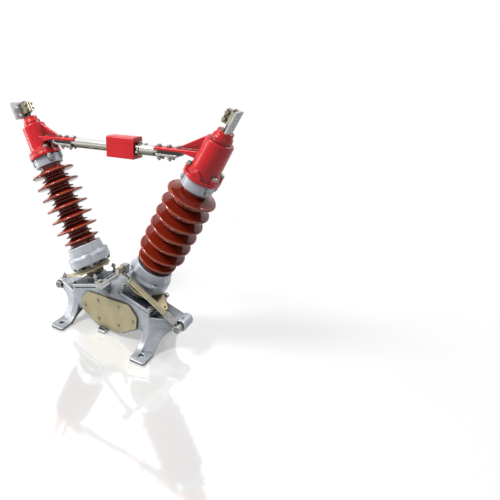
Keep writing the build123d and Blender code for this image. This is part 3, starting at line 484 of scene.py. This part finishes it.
# %% Helper: mark outer edges and inner corners
def mark_edges(mesh, rounds=2):
    """Write how far each point stands out from its neighbours, as the edge attribute."""
    count = len(mesh.vertices)
    spots = np.empty(count * 3)
    mesh.vertices.foreach_get("co", spots)
    spots = spots.reshape(-1, 3)
    facing = np.empty(count * 3)
    mesh.vertices.foreach_get("normal", facing)
    facing = facing.reshape(-1, 3)
    pairs = np.empty(len(mesh.edges) * 2, dtype=np.int64)
    mesh.edges.foreach_get("vertices", pairs)
    first, second = pairs.reshape(-1, 2).T
    both, other = np.concatenate([first, second]), np.concatenate([second, first])
    ties = np.bincount(both, minlength=count)
    gap = spots[other] - spots[both]
    size = np.linalg.norm(gap, axis=1)
    lean = -(gap * facing[both]).sum(axis=1) / np.maximum(size, 1e-9)
    edge = np.bincount(both, weights=lean, minlength=count) / np.maximum(ties, 1)
    for _ in range(rounds):
        around = np.bincount(both, weights=edge[other], minlength=count) / np.maximum(ties, 1)
        edge = (edge + around) / 2
    mesh.attributes.new("edge", "FLOAT", "POINT").data.foreach_set("value", edge)


# %% Wrap the castings
def cast(node, voxel, rounds):
    """Replace a CAD node by a wrapped and smoothed copy."""
    thing = held(merged(node), node + "_wrap")
    skin = thing.modifiers.new("skin", "REMESH")
    skin.mode = "VOXEL"
    skin.voxel_size = voxel
    skin.use_smooth_shade = True
    soft = thing.modifiers.new("soft", "SMOOTH")
    soft.factor = 0.5
    soft.iterations = rounds
    mesh = worked(thing)
    mark_edges(mesh)
    piece("cast_" + node, mesh, body_of[node], slot_of[node], node)
    return len(mesh.polygons)


SIDES = (("left", -1), ("right", 1))
BASE_WRAP = (0.0026, 8)
WRAPS = {"cap": (0.0018, 8), "bottom_flange": (0.0021, 6), "top_flange": (0.0021, 5),
         "bearing_seat": (0.0020, 5)}
print("base casting:", cast("base_casting", *BASE_WRAP), "squares")
for side, _ in SIDES:
    for kind, wrap in WRAPS.items():
        print(side, kind + ":", cast(kind + "_" + side, *wrap), "squares")

# %% [markdown]
# ## Machined and pressed pieces
# Plates, tubes, pins and clamps come from a saw, a lathe or a press. Their faces are flat and
# their edges only just broken, so here a narrow bevel is right. Flat triangles of the CAD mesh
# are first dissolved into whole faces, so that the bevel runs along real edges only.


# %% Break the edges of the machined nodes
FLAT, CORNER = math.radians(1.0), math.radians(34)


def machined(node, width, slot, cutter=None):
    """Replace a CAD node by a copy with narrow bevels on its edges, and a slot where one is cut."""
    shape = merged(node)
    bmesh.ops.dissolve_limit(shape, angle_limit=FLAT, verts=shape.verts, edges=shape.edges)
    thing = held(shape, node + "_bevel")
    for polygon in thing.data.polygons:
        polygon.use_smooth = True
    if cutter:
        cut = thing.modifiers.new("cut", "BOOLEAN")
        cut.object = cutter
        cut.solver = "EXACT"
        cut.use_self = True
    bevel = thing.modifiers.new("bevel", "BEVEL")
    bevel.width = width
    bevel.segments = 2
    bevel.limit_method = "ANGLE"
    bevel.angle_limit = CORNER
    thing.modifiers.new("flat_faces", "WEIGHTED_NORMAL").keep_sharp = True
    mesh = worked(thing)
    piece("made_" + node, mesh, body_of[node], slot, node)


edge_widths = {"front_cover": 0.0012, "rear_cover": 0.0012, "contact_hood": 0.0012,
               "rod_bracket": 0.0012, "contact_fingers": 0.0008, "contact_blade": 0.0008,
               "stay_rod": 0.0006, "rod_sleeve": 0.0008}
for side, _ in SIDES:
    for kind, width in (("spindle", 0.0012), ("lever_plate", 0.0010), ("levelling_studs", 0.0005),
                        ("tube_clamp", 0.0012), ("contact_tube", 0.0010), ("terminal_stud", 0.0008),
                        ("terminal_clamp", 0.0014), ("palm_plate", 0.0009)):
        edge_widths[kind + "_" + side] = width
for node, width in edge_widths.items():
    machined(node, width, slot_of[node])
print("machined pieces:", len(edge_widths))

# %% [markdown]
# ## The two post insulators
# A post insulator is turned clay, fired and glazed. Its sheds follow a rule: a large and a
# small one, again and again, at one pitch, with a smaller shed at the foot. A Geometry Nodes
# tree follows the same rule. It takes one large and one small shed, turned in Python from a
# rounded outline, and sets copies down the axis. The top and the foot are joined to them, the
# seams are welded, and the whole post is leaned and moved to its place. The rim attribute
# rides along with the points.

# %% Helper: turn a mesh on a lathe
MM = 0.001
SIXTH = math.radians(60)
CREASE = math.radians(40)


def hexagon(turn):
    """How much further a hexagon reaches at an angle than the circle inside it."""
    return 1 / math.cos((turn + SIXTH / 2) % SIXTH - SIXTH / 2)


def turned(name, outline, steps, six=False):
    """A mesh turned from (radius, height, mark) points in millimetres, from the top down.

    The mark is the rim share, or for six, how far the ring is a hexagon."""
    points, faces, marks, rings = [], [], [], []
    for radius, height, mark in outline:
        count = steps if radius > 0 else 1
        rings.append((len(points), count))
        for j in range(count):
            turn = math.tau * j / steps
            reach = radius * MM * ((1 - mark) + mark * hexagon(turn) if six else 1)
            points.append((reach * math.cos(turn), reach * math.sin(turn), height * MM))
            marks.append(mark)
    for (upper, above), (lower, below) in zip(rings, rings[1:]):
        for j in range(steps):
            k = (j + 1) % steps
            if above == 1:
                faces.append((upper, lower + j, lower + k))
            elif below == 1:
                faces.append((upper + j, lower, upper + k))
            else:
                faces.append((upper + j, lower + j, lower + k, upper + k))
    mesh = bpy.data.meshes.new(name)
    mesh.from_pydata(points, [], faces)
    if not six:
        mesh.attributes.new("rim", "FLOAT", "POINT").data.foreach_set("value", marks)
    mesh.shade_smooth()
    mesh.set_sharp_from_angle(angle=CREASE)
    return mesh


# %% Outline of the sheds
SHED_PITCH, TOP_SHED = 53.0, 342.5
CORE_R, SHED_R, SMALL_R, LOW_SHED_R, BARREL_R = 46.0, 95.0, 62.0, 81.0, 58.0
SHED_TIP, SMALL_TIP = 4.5, 3.0
SHED_FALL, SMALL_FALL = 8.0, 3.0
POST_TOP, POST_LOW = 378.0, -12.0
LOW_SHED, BELOW_SMALL = 24.5, 4.15
SHEDS = 6


def softened(corners, steps=4):
    """An outline with each corner rounded by a short curve of the length given with it."""
    outline = [(*corners[0][:2], corners[0][3])]
    for before, corner, after in zip(corners, corners[1:], corners[2:]):
        here, length, mark = Vector(corner[:2]), corner[2], corner[3]
        if length == 0:
            outline.append((*here, mark))
            continue
        ends = []
        for other in (before, after):
            way = Vector(other[:2]) - here
            share = min(length / way.length, 0.5)
            ends.append((here + way * share, mark + (other[3] - mark) * share * 0.5))
        for i in range(steps + 1):
            t = i / steps
            spot = ends[0][0] * (1 - t) ** 2 + here * 2 * t * (1 - t) + ends[1][0] * t ** 2
            level = ends[0][1] * (1 - t) ** 2 + mark * 2 * t * (1 - t) + ends[1][1] * t ** 2
            outline.append((*spot, level))
    outline.append((*corners[-1][:2], corners[-1][3]))
    return outline


def shed(height, tip_r, tip, low_r, low_fall):
    """Corners of one shed: root, slope, raised lip, round tip, underside, root.

    The lip and the tip are set out in shares of the tip's own half thickness."""
    rise = 0.4 * SHED_PITCH * (tip_r - CORE_R) / (SHED_R - CORE_R)
    return [(CORE_R, height + rise, 9.0, 0.0),
            (tip_r - tip * 1.9, height + tip * 1.15, tip * 0.8, 0.70),
            (tip_r - tip * 0.8, height + tip * 1.3, tip * 0.7, 1.0),
            (tip_r + tip * 0.1, height, tip * 0.7, 0.9),
            (tip_r - tip * 0.6, height - tip * 1.1, tip * 0.8, 0.6),
            (low_r, height - low_fall, 7.0, 0.0)]


pair_low = -SHED_PITCH / 2 - BELOW_SMALL
pair_outline = softened([(CORE_R, pair_low + SHED_PITCH, 0, 0.0),
                         *shed(0.0, SHED_R, SHED_TIP, CORE_R, SHED_FALL),
                         *shed(-SHED_PITCH / 2, SMALL_R, SMALL_TIP, CORE_R, SMALL_FALL),
                         (CORE_R, pair_low, 0, 0.0)])
post_ends = softened([(CORE_R, TOP_SHED - (SHEDS - 1) * SHED_PITCH + pair_low, 0, 0.0),
                      *shed(LOW_SHED, LOW_SHED_R, SHED_TIP, BARREL_R, SHED_FALL),
                      (BARREL_R, POST_LOW, 0, 0.0), (0.0, POST_LOW, 0, 0.0)])
post_head = [(0.0, POST_TOP, 0.0), (CORE_R, POST_TOP, 0.0),
             (CORE_R, TOP_SHED + pair_low + SHED_PITCH, 0.0)]
print("outline points:", len(pair_outline), "and", len(post_ends))

# %% [markdown]
# ## Geometry Nodes from a script
# A node group gets an input socket for each value that its user may set. A modifier keeps
# those values under the sockets' identifiers, not their names, so one helper looks them up.
# Once the nodes have run, the result is copied to a plain mesh, and the modifier goes.


# %% Helpers for geometry node groups
def new_group(name, inputs):
    """A geometry node group with the given named inputs, its input sockets and its output."""
    group = bpy.data.node_groups.new(name, "GeometryNodeTree")
    group.interface.new_socket("Geometry", in_out="INPUT", socket_type="NodeSocketGeometry")
    for label, kind in inputs.items():
        group.interface.new_socket(label, in_out="INPUT", socket_type="NodeSocket" + kind)
    group.interface.new_socket("Geometry", in_out="OUTPUT", socket_type="NodeSocketGeometry")
    return group, put(group, "NodeGroupInput").outputs, put(group, "NodeGroupOutput").inputs


def grown(thing, group, values):
    """The plain mesh that a geometry node group makes of an object."""
    modifier = thing.modifiers.new(group.name, "NODES")
    modifier.node_group = group
    for item in group.interface.items_tree:
        if item.in_out == "INPUT" and item.name in values:
            modifier[item.identifier] = values[item.name]
    return worked(thing)


def loose(name, mesh):
    """An object with a mesh, in the scene for as long as it is needed."""
    thing = bpy.data.objects.new(name, mesh)
    bpy.context.scene.collection.objects.link(thing)
    return thing


# %% Geometry nodes that stack the sheds
stack, given, result = new_group("stacked_sheds", {
    "Head": "Object", "Foot": "Object", "Sheds": "Int", "Pitch": "Float", "First": "Float",
    "Lean": "Float", "Place": "Vector", "Glaze": "Material"})
start = put(stack, "ShaderNodeCombineXYZ", {"Z": given["First"]})
down = put(stack, "ShaderNodeMath", {0: given["Pitch"], 1: -1.0}, operation="MULTIPLY")
step = put(stack, "ShaderNodeCombineXYZ", {"Z": down.outputs[0]})
spots = put(stack, "GeometryNodeMeshLine", {
    "Count": given["Sheds"], "Start Location": start.outputs[0], "Offset": step.outputs[0]})
copies = put(stack, "GeometryNodeInstanceOnPoints", {"Points": spots.outputs[0],
                                                     "Instance": given["Geometry"]})
head = put(stack, "GeometryNodeObjectInfo", {"Object": given["Head"]}, transform_space="ORIGINAL")
foot = put(stack, "GeometryNodeObjectInfo", {"Object": given["Foot"]}, transform_space="ORIGINAL")
whole = put(stack, "GeometryNodeJoinGeometry")
for part in (copies.outputs[0], head.outputs["Geometry"], foot.outputs["Geometry"]):
    stack.links.new(part, whole.inputs[0])
real = put(stack, "GeometryNodeRealizeInstances", {"Geometry": whole.outputs[0]})
welded = put(stack, "GeometryNodeMergeByDistance", {"Geometry": real.outputs[0],
                                                    "Distance": WELD})
tilt = put(stack, "ShaderNodeCombineXYZ", {"Y": given["Lean"]})
stood = put(stack, "GeometryNodeTransform", {
    "Geometry": welded.outputs[0], "Translation": given["Place"], "Rotation": tilt.outputs[0]})
dressed = put(stack, "GeometryNodeSetMaterial", {"Geometry": stood.outputs[0],
                                                 "Material": given["Glaze"]})
stack.links.new(dressed.outputs[0], result[0])
print("nodes that stack sheds:", len(stack.nodes))

# %% Place a post on each side
LEAN = math.radians(26.5)
POST_X, POST_Z = 190.0, 350.0
LATHE_STEPS = 128

head_thing = loose("post_head", turned("post_head", post_head, LATHE_STEPS))
foot_thing = loose("post_foot", turned("post_foot", post_ends, LATHE_STEPS))
for side, sign in SIDES:
    thing = loose("shed_pair", turned("shed_pair", pair_outline, LATHE_STEPS))
    mesh = grown(thing, stack, {"Head": head_thing, "Foot": foot_thing, "Sheds": SHEDS,
                                "Pitch": SHED_PITCH * MM, "First": TOP_SHED * MM,
                                "Lean": sign * LEAN,
                                "Place": (sign * POST_X * MM, 0.0, POST_Z * MM),
                                "Glaze": finishes["porcelain"]})
    piece("sheds_" + side, mesh, "column_" + side, "porcelain", "porcelain_post_" + side)
    print(side, "post:", len(mesh.polygons), "faces")
for thing in (head_thing, foot_thing):
    bpy.data.objects.remove(thing)

# %% [markdown]
# ## Bolts, nuts, studs and screws
# The pole is held together by some ninety fasteners of six kinds. Each kind is turned once,
# with its hexagon made by drawing the rings of a lathe shape out to six corners. A second
# Geometry Nodes tree sets copies on points. Each point carries the way that the fastener
# looks, its size and its turn about its own axis, since no fitter leaves all heads in line.

# %% The kinds of fastener, about a Z axis, seated at height nought
WASHER = [(12.0, 2.4, 0.0), (12.4, 2.0, 0.0), (12.4, 0.4, 0.0), (12.0, 0.0, 0.0),
          (6.0, -0.5, 0.0), (0.0, -0.5, 0.0)]
NUT_ON_WASHER = [(5.8, 10.8, 0.0), (8.6, 10.8, 0.0), (9.2, 10.2, 0.4), (9.2, 9.4, 1.0),
                 (9.2, 2.4, 1.0), *WASHER]
FASTENER_STEPS = 24

kinds = {
    "bolt": [(0.0, 9.8, 0.0), (8.4, 9.8, 0.0), (9.0, 9.2, 0.4), (9.2, 8.4, 1.0),
             (9.2, 2.4, 1.0), *WASHER],
    "nut": [(0.0, 17.0, 0.0), (4.8, 17.0, 0.0), (5.8, 16.0, 0.0), *NUT_ON_WASHER],
    "stud": [(0.0, 40.0, 0.0), (4.8, 40.0, 0.0), (5.8, 39.0, 0.0), (5.8, 33.0, 0.0),
             (8.6, 33.0, 0.0), (9.2, 32.4, 0.4), (9.2, 31.6, 1.0), (9.2, 24.4, 1.0),
             (8.6, 23.6, 0.2), (5.8, 23.6, 0.0), *NUT_ON_WASHER],
    "lock_nut": [(5.0, 9.0, 0.0), (8.6, 9.0, 0.0), (9.2, 8.4, 0.4), (9.2, 7.8, 1.0),
                 (9.2, 1.2, 1.0), (9.2, 0.6, 0.4), (8.6, 0.0, 0.0), (5.0, 0.0, 0.0)],
    "grease_cap": [(0.0, 22.0, 0.0), (3.6, 21.6, 0.0), (5.6, 19.5, 0.0), (5.6, 11.0, 0.0),
                   (8.4, 10.2, 0.0), (9.2, 9.2, 1.0), (9.2, 2.0, 1.0), (9.8, 1.4, 0.0),
                   (9.8, 0.0, 0.0), (0.0, -1.0, 0.0)],
    "screw": [(0.0, 3.6, 0.0), (2.0, 3.6, 0.0), (2.0, 5.2, 1.0), (4.6, 5.2, 0.0),
              (5.0, 4.6, 0.0), (5.0, 1.4, 0.0), (7.4, 1.4, 0.0), (7.8, 1.0, 0.0),
              (7.8, 0.0, 0.0), (0.0, -0.5, 0.0)],
}
patterns = {kind: loose(kind, turned(kind, outline, FASTENER_STEPS, six=True))
            for kind, outline in kinds.items()}
print("fasteners turned:", {kind: len(thing.data.polygons) for kind, thing in patterns.items()})

# %% Geometry nodes that set fasteners on points
fitting, given, result = new_group("set_fasteners", {"Fastener": "Object", "Plate": "Material"})


def carried(label, kind):
    """A value that each point carries."""
    return put(fitting, "GeometryNodeInputNamedAttribute", {"Name": label},
               data_type=kind).outputs[0]


shape = put(fitting, "GeometryNodeObjectInfo", {"Object": given["Fastener"]},
            transform_space="ORIGINAL")
aimed = put(fitting, "FunctionNodeAlignRotationToVector",
            {"Vector": carried("aim", "FLOAT_VECTOR")}, axis="Z")
spun = put(fitting, "FunctionNodeAxisAngleToRotation", {"Axis": (0, 0, 1),
                                                        "Angle": carried("spin", "FLOAT")})
both = put(fitting, "FunctionNodeRotateRotation", {"Rotation": aimed.outputs[0],
                                                   "Rotate By": spun.outputs[0]},
           rotation_space="LOCAL")
spots = put(fitting, "GeometryNodeMeshToPoints", {"Mesh": given["Geometry"]})
copies = put(fitting, "GeometryNodeInstanceOnPoints", {
    "Points": spots.outputs[0], "Instance": shape.outputs["Geometry"], "Rotation": both.outputs[0],
    "Scale": carried("size", "FLOAT")})
real = put(fitting, "GeometryNodeRealizeInstances", {"Geometry": copies.outputs[0]})
plated = put(fitting, "GeometryNodeSetMaterial", {"Geometry": real.outputs[0],
                                                  "Material": given["Plate"]})
fitting.links.new(plated.outputs[0], result[0])
print("nodes that set fasteners:", len(fitting.nodes))


# %% Helpers: places on the pole, and a row of fasteners
def at(x, y, z):
    """A place on the pole, from millimetres."""
    return Vector((x, y, z)) * MM


def on_column(sign, out, y, along):
    """A place from its reach outwards, its y and its height up the leaning axis, in mm."""
    return at(sign * (POST_X + out * math.cos(LEAN) + along * math.sin(LEAN)), y,
              POST_Z - out * math.sin(LEAN) + along * math.cos(LEAN))


def up_column(sign, way=1):
    """The direction of a column's axis, up or down."""
    return Vector((sign * math.sin(LEAN), 0, math.cos(LEAN))) * way


def around(sign, radius, along, turns):
    """Places on a circle about a column's axis."""
    return [on_column(sign, radius * math.cos(math.radians(turn)),
                      radius * math.sin(math.radians(turn)), along) for turn in turns]


rows = []


def fasten(kind, body, slot, places, aim, size=1.0):
    """Note a row of fasteners for later."""
    rows.append((kind, body, slot, places, Vector(aim), size))


# %% Fasteners of one column, its arm and its terminal
CORNER_TURNS = (45, 135, 225, 315)
CROSS_TURNS = (0, 90, 180, 270)
CAP_BOLT_TURNS, CAP_BOLT_R, CAP_FOOT_TOP, CAP_FOOT_LOW = (30, 150, 210, 330), 60, 450, 402
SKIRT_BOLT_R, SKIRT_LOW = 81, -88
LEVEL_STUD_R, LEVEL_NUT_LOW = 62, -96.5
SPINDLE_BOLT_R, SPINDLE_LOW = 60, -120
ARM_BOLT_X, ARM_TOP_Z = (206, 248, 288), 820
CLAMP_NUT_X, CLAMP_NUT_Y, CLAMP_LOW_Z = (214, 258), (-14, 14), 790
LUG_REACH, LUG_HALF, LUG_HEIGHTS = -23, 11, (635, 657)


def fasten_column(side, sign):
    """Note the bolts and nuts of a column, from its cap down, then of its arm and terminal."""
    body, up, down = "column_" + side, up_column(sign), up_column(sign, -1)
    cap_tops = around(sign, CAP_BOLT_R, CAP_FOOT_TOP, CAP_BOLT_TURNS)
    cap_undersides = around(sign, CAP_BOLT_R, CAP_FOOT_LOW, CAP_BOLT_TURNS)
    skirt = around(sign, SKIRT_BOLT_R, SKIRT_LOW, CORNER_TURNS)
    level_studs = around(sign, LEVEL_STUD_R, LEVEL_NUT_LOW, CROSS_TURNS)
    spindle = around(sign, SPINDLE_BOLT_R, SPINDLE_LOW, CORNER_TURNS)
    arm = [at(sign * x, 0, ARM_TOP_Z) for x in ARM_BOLT_X]
    clamp = [at(sign * x, y, CLAMP_LOW_Z) for x in CLAMP_NUT_X for y in CLAMP_NUT_Y]
    fasten("bolt", body, "zinc_steel", cap_tops, up, 0.95)
    fasten("nut", body, "zinc_steel", cap_undersides, down, 0.95)
    fasten("nut", body, "zinc_steel", skirt, down, 0.85)
    fasten("lock_nut", body, "zinc_steel", level_studs, up, 0.9)
    fasten("bolt", body, "zinc_steel", spindle, down, 0.9)
    fasten("bolt", body, "zinc_steel", arm, (0, 0, 1), 0.9)
    fasten("nut", body, "zinc_steel", clamp, (0, 0, -1), 1.0)
    for kind, way in (("bolt", -1), ("nut", 1)):
        lugs = [on_column(sign, LUG_REACH, way * LUG_HALF, height) for height in LUG_HEIGHTS]
        fasten(kind, "terminal_" + side, "clamp_brass", lugs, (0, way, 0), 0.7)


# %% Fasteners of one bearing seat, then all of both sides
SLOPE = math.radians(16.5)
ROOF_PEAK_Z, SEAT_THICK = 222, 14
SEAT_STUD_REACH, SEAT_BOLT_REACH, SEAT_HOLE_Y = 65.7, 209.6, (-64, 64)


def fasten_seat(sign):
    """Note the two studs and the two bolts that hold a bearing seat on the sloping roof."""
    level = Vector((sign * math.sin(SLOPE), 0, math.cos(SLOPE)))
    for kind, reach in (("stud", SEAT_STUD_REACH), ("bolt", SEAT_BOLT_REACH)):
        foot = Vector((sign * reach * math.cos(SLOPE), 0, ROOF_PEAK_Z - reach * math.sin(SLOPE)))
        places = [(foot + Vector((0, y, 0)) + level * SEAT_THICK) * MM for y in SEAT_HOLE_Y]
        fasten(kind, "base", "zinc_steel", places, level)


for side, sign in SIDES:
    fasten_column(side, sign)
    fasten_seat(sign)
print("rows of fasteners on both sides:", len(rows))

# %% Fasteners of the covers, the stay rod, the ears and the blade
COVER_Y = 81
COVER_SCREWS = [(x, z) for x in (-53.5, 53.5) for z in (56.5, 145.5)] + [(-128, 101), (128, 101)]
ROD_TOP, ROD_WAY = Vector((118, -140, 361)), Vector((0.631, 0.291, -0.719))
ROD_NUT_REACH = (16, 51)
ROD_PIN_HEAD, ROD_PIN_NUT = at(118, -150, 361), at(118, -98, 361)
BRACKET_BOLT = at(-9, -111, 262)
LEFT_EAR_CAP, RIGHT_EAR_SCREW = at(-326, 0, 148.5), at(326, -12, 148.8)
BLADE_BOLTS = [at(124, 0, 825.5), at(150, 0, 821.5)]
UPWARDS = (0, 0, 1)

for way in (-1, 1):
    fasten("screw", "base", "rod_tan", [at(x, way * COVER_Y, z) for x, z in COVER_SCREWS],
           (0, way, 0), 0.95)
fasten("bolt", "base", "zinc_steel", [ROD_PIN_HEAD], (0, -1, 0), 0.85)
fasten("nut", "base", "zinc_steel", [ROD_PIN_NUT], (0, 1, 0), 0.85)
fasten("lock_nut", "base", "zinc_steel", [(ROD_TOP + ROD_WAY * reach) * MM
                                          for reach in ROD_NUT_REACH], ROD_WAY)
fasten("bolt", "base", "zinc_steel", [BRACKET_BOLT], UPWARDS, 0.8)
fasten("grease_cap", "base", "zinc_steel", [LEFT_EAR_CAP], UPWARDS)
fasten("screw", "base", "zinc_steel", [RIGHT_EAR_SCREW], UPWARDS, 0.8)
fasten("bolt", "column_right", "zinc_steel", BLADE_BOLTS, UPWARDS, 0.55)
print("rows of fasteners:", len(rows))

# %% Set them, one mesh for each kind, body and finish
GOLDEN_TURN = 2.399

groups = {}
for kind, body, slot, places, aim, size in rows:
    groups.setdefault((kind, body, slot), []).extend((place, aim, size) for place in places)
total = 0
for (kind, body, slot), members in groups.items():
    mesh = bpy.data.meshes.new(kind)
    mesh.from_pydata([place for place, _, _ in members], [], [])
    mesh.attributes.new("aim", "FLOAT_VECTOR", "POINT").data.foreach_set(
        "vector", [part for _, aim, _ in members for part in aim])
    mesh.attributes.new("size", "FLOAT", "POINT").data.foreach_set(
        "value", [size for _, _, size in members])
    mesh.attributes.new("spin", "FLOAT", "POINT").data.foreach_set(
        "value", [GOLDEN_TURN * number for number in range(len(members))])
    plain = grown(loose(kind + "_points", mesh), fitting, {"Fastener": patterns[kind],
                                                           "Plate": finishes[slot]})
    piece(kind + "s_" + body, plain, body, slot)
    total += len(members)
for thing in patterns.values():
    bpy.data.objects.remove(thing)
print("fasteners set:", total)

# %% [markdown]
# ## Threads
# The stay rod is set to length by a thin threaded stud at its top, and four threaded studs
# level each post. A thread is a ridge that climbs round the stud. Geometry Nodes draw it as a
# spiral curve and sweep a small three-sided outline along it, which keeps its faces few.

# %% Geometry nodes that wind a thread
winding, given, result = new_group("wound_thread", {
    "Turns": "Float", "Radius": "Float", "Length": "Float", "Ridge": "Float", "Plate": "Material"})
path = put(winding, "GeometryNodeCurveSpiral", {
    "Resolution": 20, "Rotations": given["Turns"], "Start Radius": given["Radius"],
    "End Radius": given["Radius"], "Height": given["Length"]})
ridge = put(winding, "GeometryNodeCurvePrimitiveCircle", {"Resolution": 3,
                                                          "Radius": given["Ridge"]})
swept = put(winding, "GeometryNodeCurveToMesh", {
    "Curve": path.outputs[0], "Profile Curve": ridge.outputs[0], "Fill Caps": True})
threads = put(winding, "GeometryNodeInstanceOnPoints", {"Points": given["Geometry"],
                                                        "Instance": swept.outputs[0]})
way = put(winding, "GeometryNodeInputNamedAttribute", {"Name": "aim"}, data_type="FLOAT_VECTOR")
aimed = put(winding, "FunctionNodeAlignRotationToVector", {"Vector": way.outputs[0]}, axis="Z")
winding.links.new(aimed.outputs[0], threads.inputs["Rotation"])
real = put(winding, "GeometryNodeRealizeInstances", {"Geometry": threads.outputs[0]})
plated = put(winding, "GeometryNodeSetMaterial", {"Geometry": real.outputs[0],
                                                  "Material": given["Plate"]})
winding.links.new(plated.outputs[0], result[0])
print("nodes that wind a thread:", len(winding.nodes))


# %% Wind them on the studs
THREAD_RIDGE = 0.75
ROD_STUD_FROM, ROD_STUD_R, ROD_STUD_LENGTH, ROD_STUD_PITCH = 24, 5.0, 26, 2.2
LEVEL_STUD_LOW, LEVEL_THREAD_R, LEVEL_STUD_LENGTH, LEVEL_STUD_PITCH = -99.5, 7.0, 11.5, 2.0


def thread(name, body, slot, places, aim, radius, length, pitch):
    """One mesh of threads, each starting at a place and running along a direction."""
    mesh = bpy.data.meshes.new(name)
    mesh.from_pydata([tuple(place) for place in places], [], [])
    mesh.attributes.new("aim", "FLOAT_VECTOR", "POINT").data.foreach_set(
        "vector", list(Vector(aim)) * len(places))
    plain = grown(loose(name + "_points", mesh), winding, {
        "Turns": length / pitch, "Radius": radius * MM, "Length": length * MM,
        "Ridge": THREAD_RIDGE * MM, "Plate": finishes[slot]})
    piece(name, plain, body, slot)
    return len(plain.polygons)


count = thread("rod_thread", "base", "zinc_steel", [(ROD_TOP + ROD_WAY * ROD_STUD_FROM) * MM],
               ROD_WAY, ROD_STUD_R, ROD_STUD_LENGTH, ROD_STUD_PITCH)
print("rod thread:", count)
for side, sign in SIDES:
    feet = around(sign, LEVEL_STUD_R, LEVEL_STUD_LOW, CROSS_TURNS)
    count = thread("stud_threads_" + side, "column_" + side, "zinc_steel", feet,
                   up_column(sign), LEVEL_THREAD_R, LEVEL_STUD_LENGTH, LEVEL_STUD_PITCH)
    print(side, "stud threads:", count)

# %% [markdown]
# ## Pins through the ears
# The stay rod swings on a pin through the right ear, and the left ear carries a spare one. A
# pin's head has a ring groove and a driver slot. Both are cut by a Boolean modifier: its
# cutter is a turned ring joined to a narrow box.

# %% Pins with grooved and slotted heads
PIN_X, PIN_Z, PIN_FACE_Y = 326.0, 124.0, {"left": -47.0, "right": -67.0}
GROOVE_OUTLINE = [(11.0, 5.0, 0), (11.0, -2.6, 0), (7.5, -2.6, 0), (7.5, 5.0, 0), (11.0, 5.0, 0)]
GROOVE_STEPS = 48
SLOT_BOX = (0.0132, 0.0030, 0.005)
SLOT_TURN = math.radians(35)
PIN_EDGE = 0.0010

for side, sign in SIDES:
    place = (Matrix.Translation(at(sign * PIN_X, PIN_FACE_Y[side], PIN_Z))
             @ Matrix.Rotation(math.radians(90), 4, "X") @ Matrix.Rotation(SLOT_TURN, 4, "Z"))
    ring = turned("groove", GROOVE_OUTLINE, GROOVE_STEPS)
    shape = bmesh.new()
    shape.from_mesh(ring)
    bmesh.ops.remove_doubles(shape, verts=shape.verts, dist=WELD)
    bmesh.ops.transform(shape, matrix=place, verts=shape.verts)
    bmesh.ops.create_cube(shape, size=1.0, matrix=place @ Matrix.Diagonal((*SLOT_BOX, 1)))
    cutter = held(shape, "groove_and_slot")
    machined("ear_pin_" + side, PIN_EDGE, "zinc_steel", cutter)
    bpy.data.objects.remove(cutter)
    bpy.data.meshes.remove(ring)
print("pins cut:", len(SIDES))

# %% [markdown]
# ## Size and finish
# The looks must not change the size of the model, so the box around all parts is compared
# before and after.

# %% Compare the two boxes, and print the growth
full_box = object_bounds()
growth = [round((full_box[1][k] - full_box[0][k]) / (cad_box[1][k] - cad_box[0][k]), 4)
          for k in range(3)]
print("size against the CAD, per side:", growth)
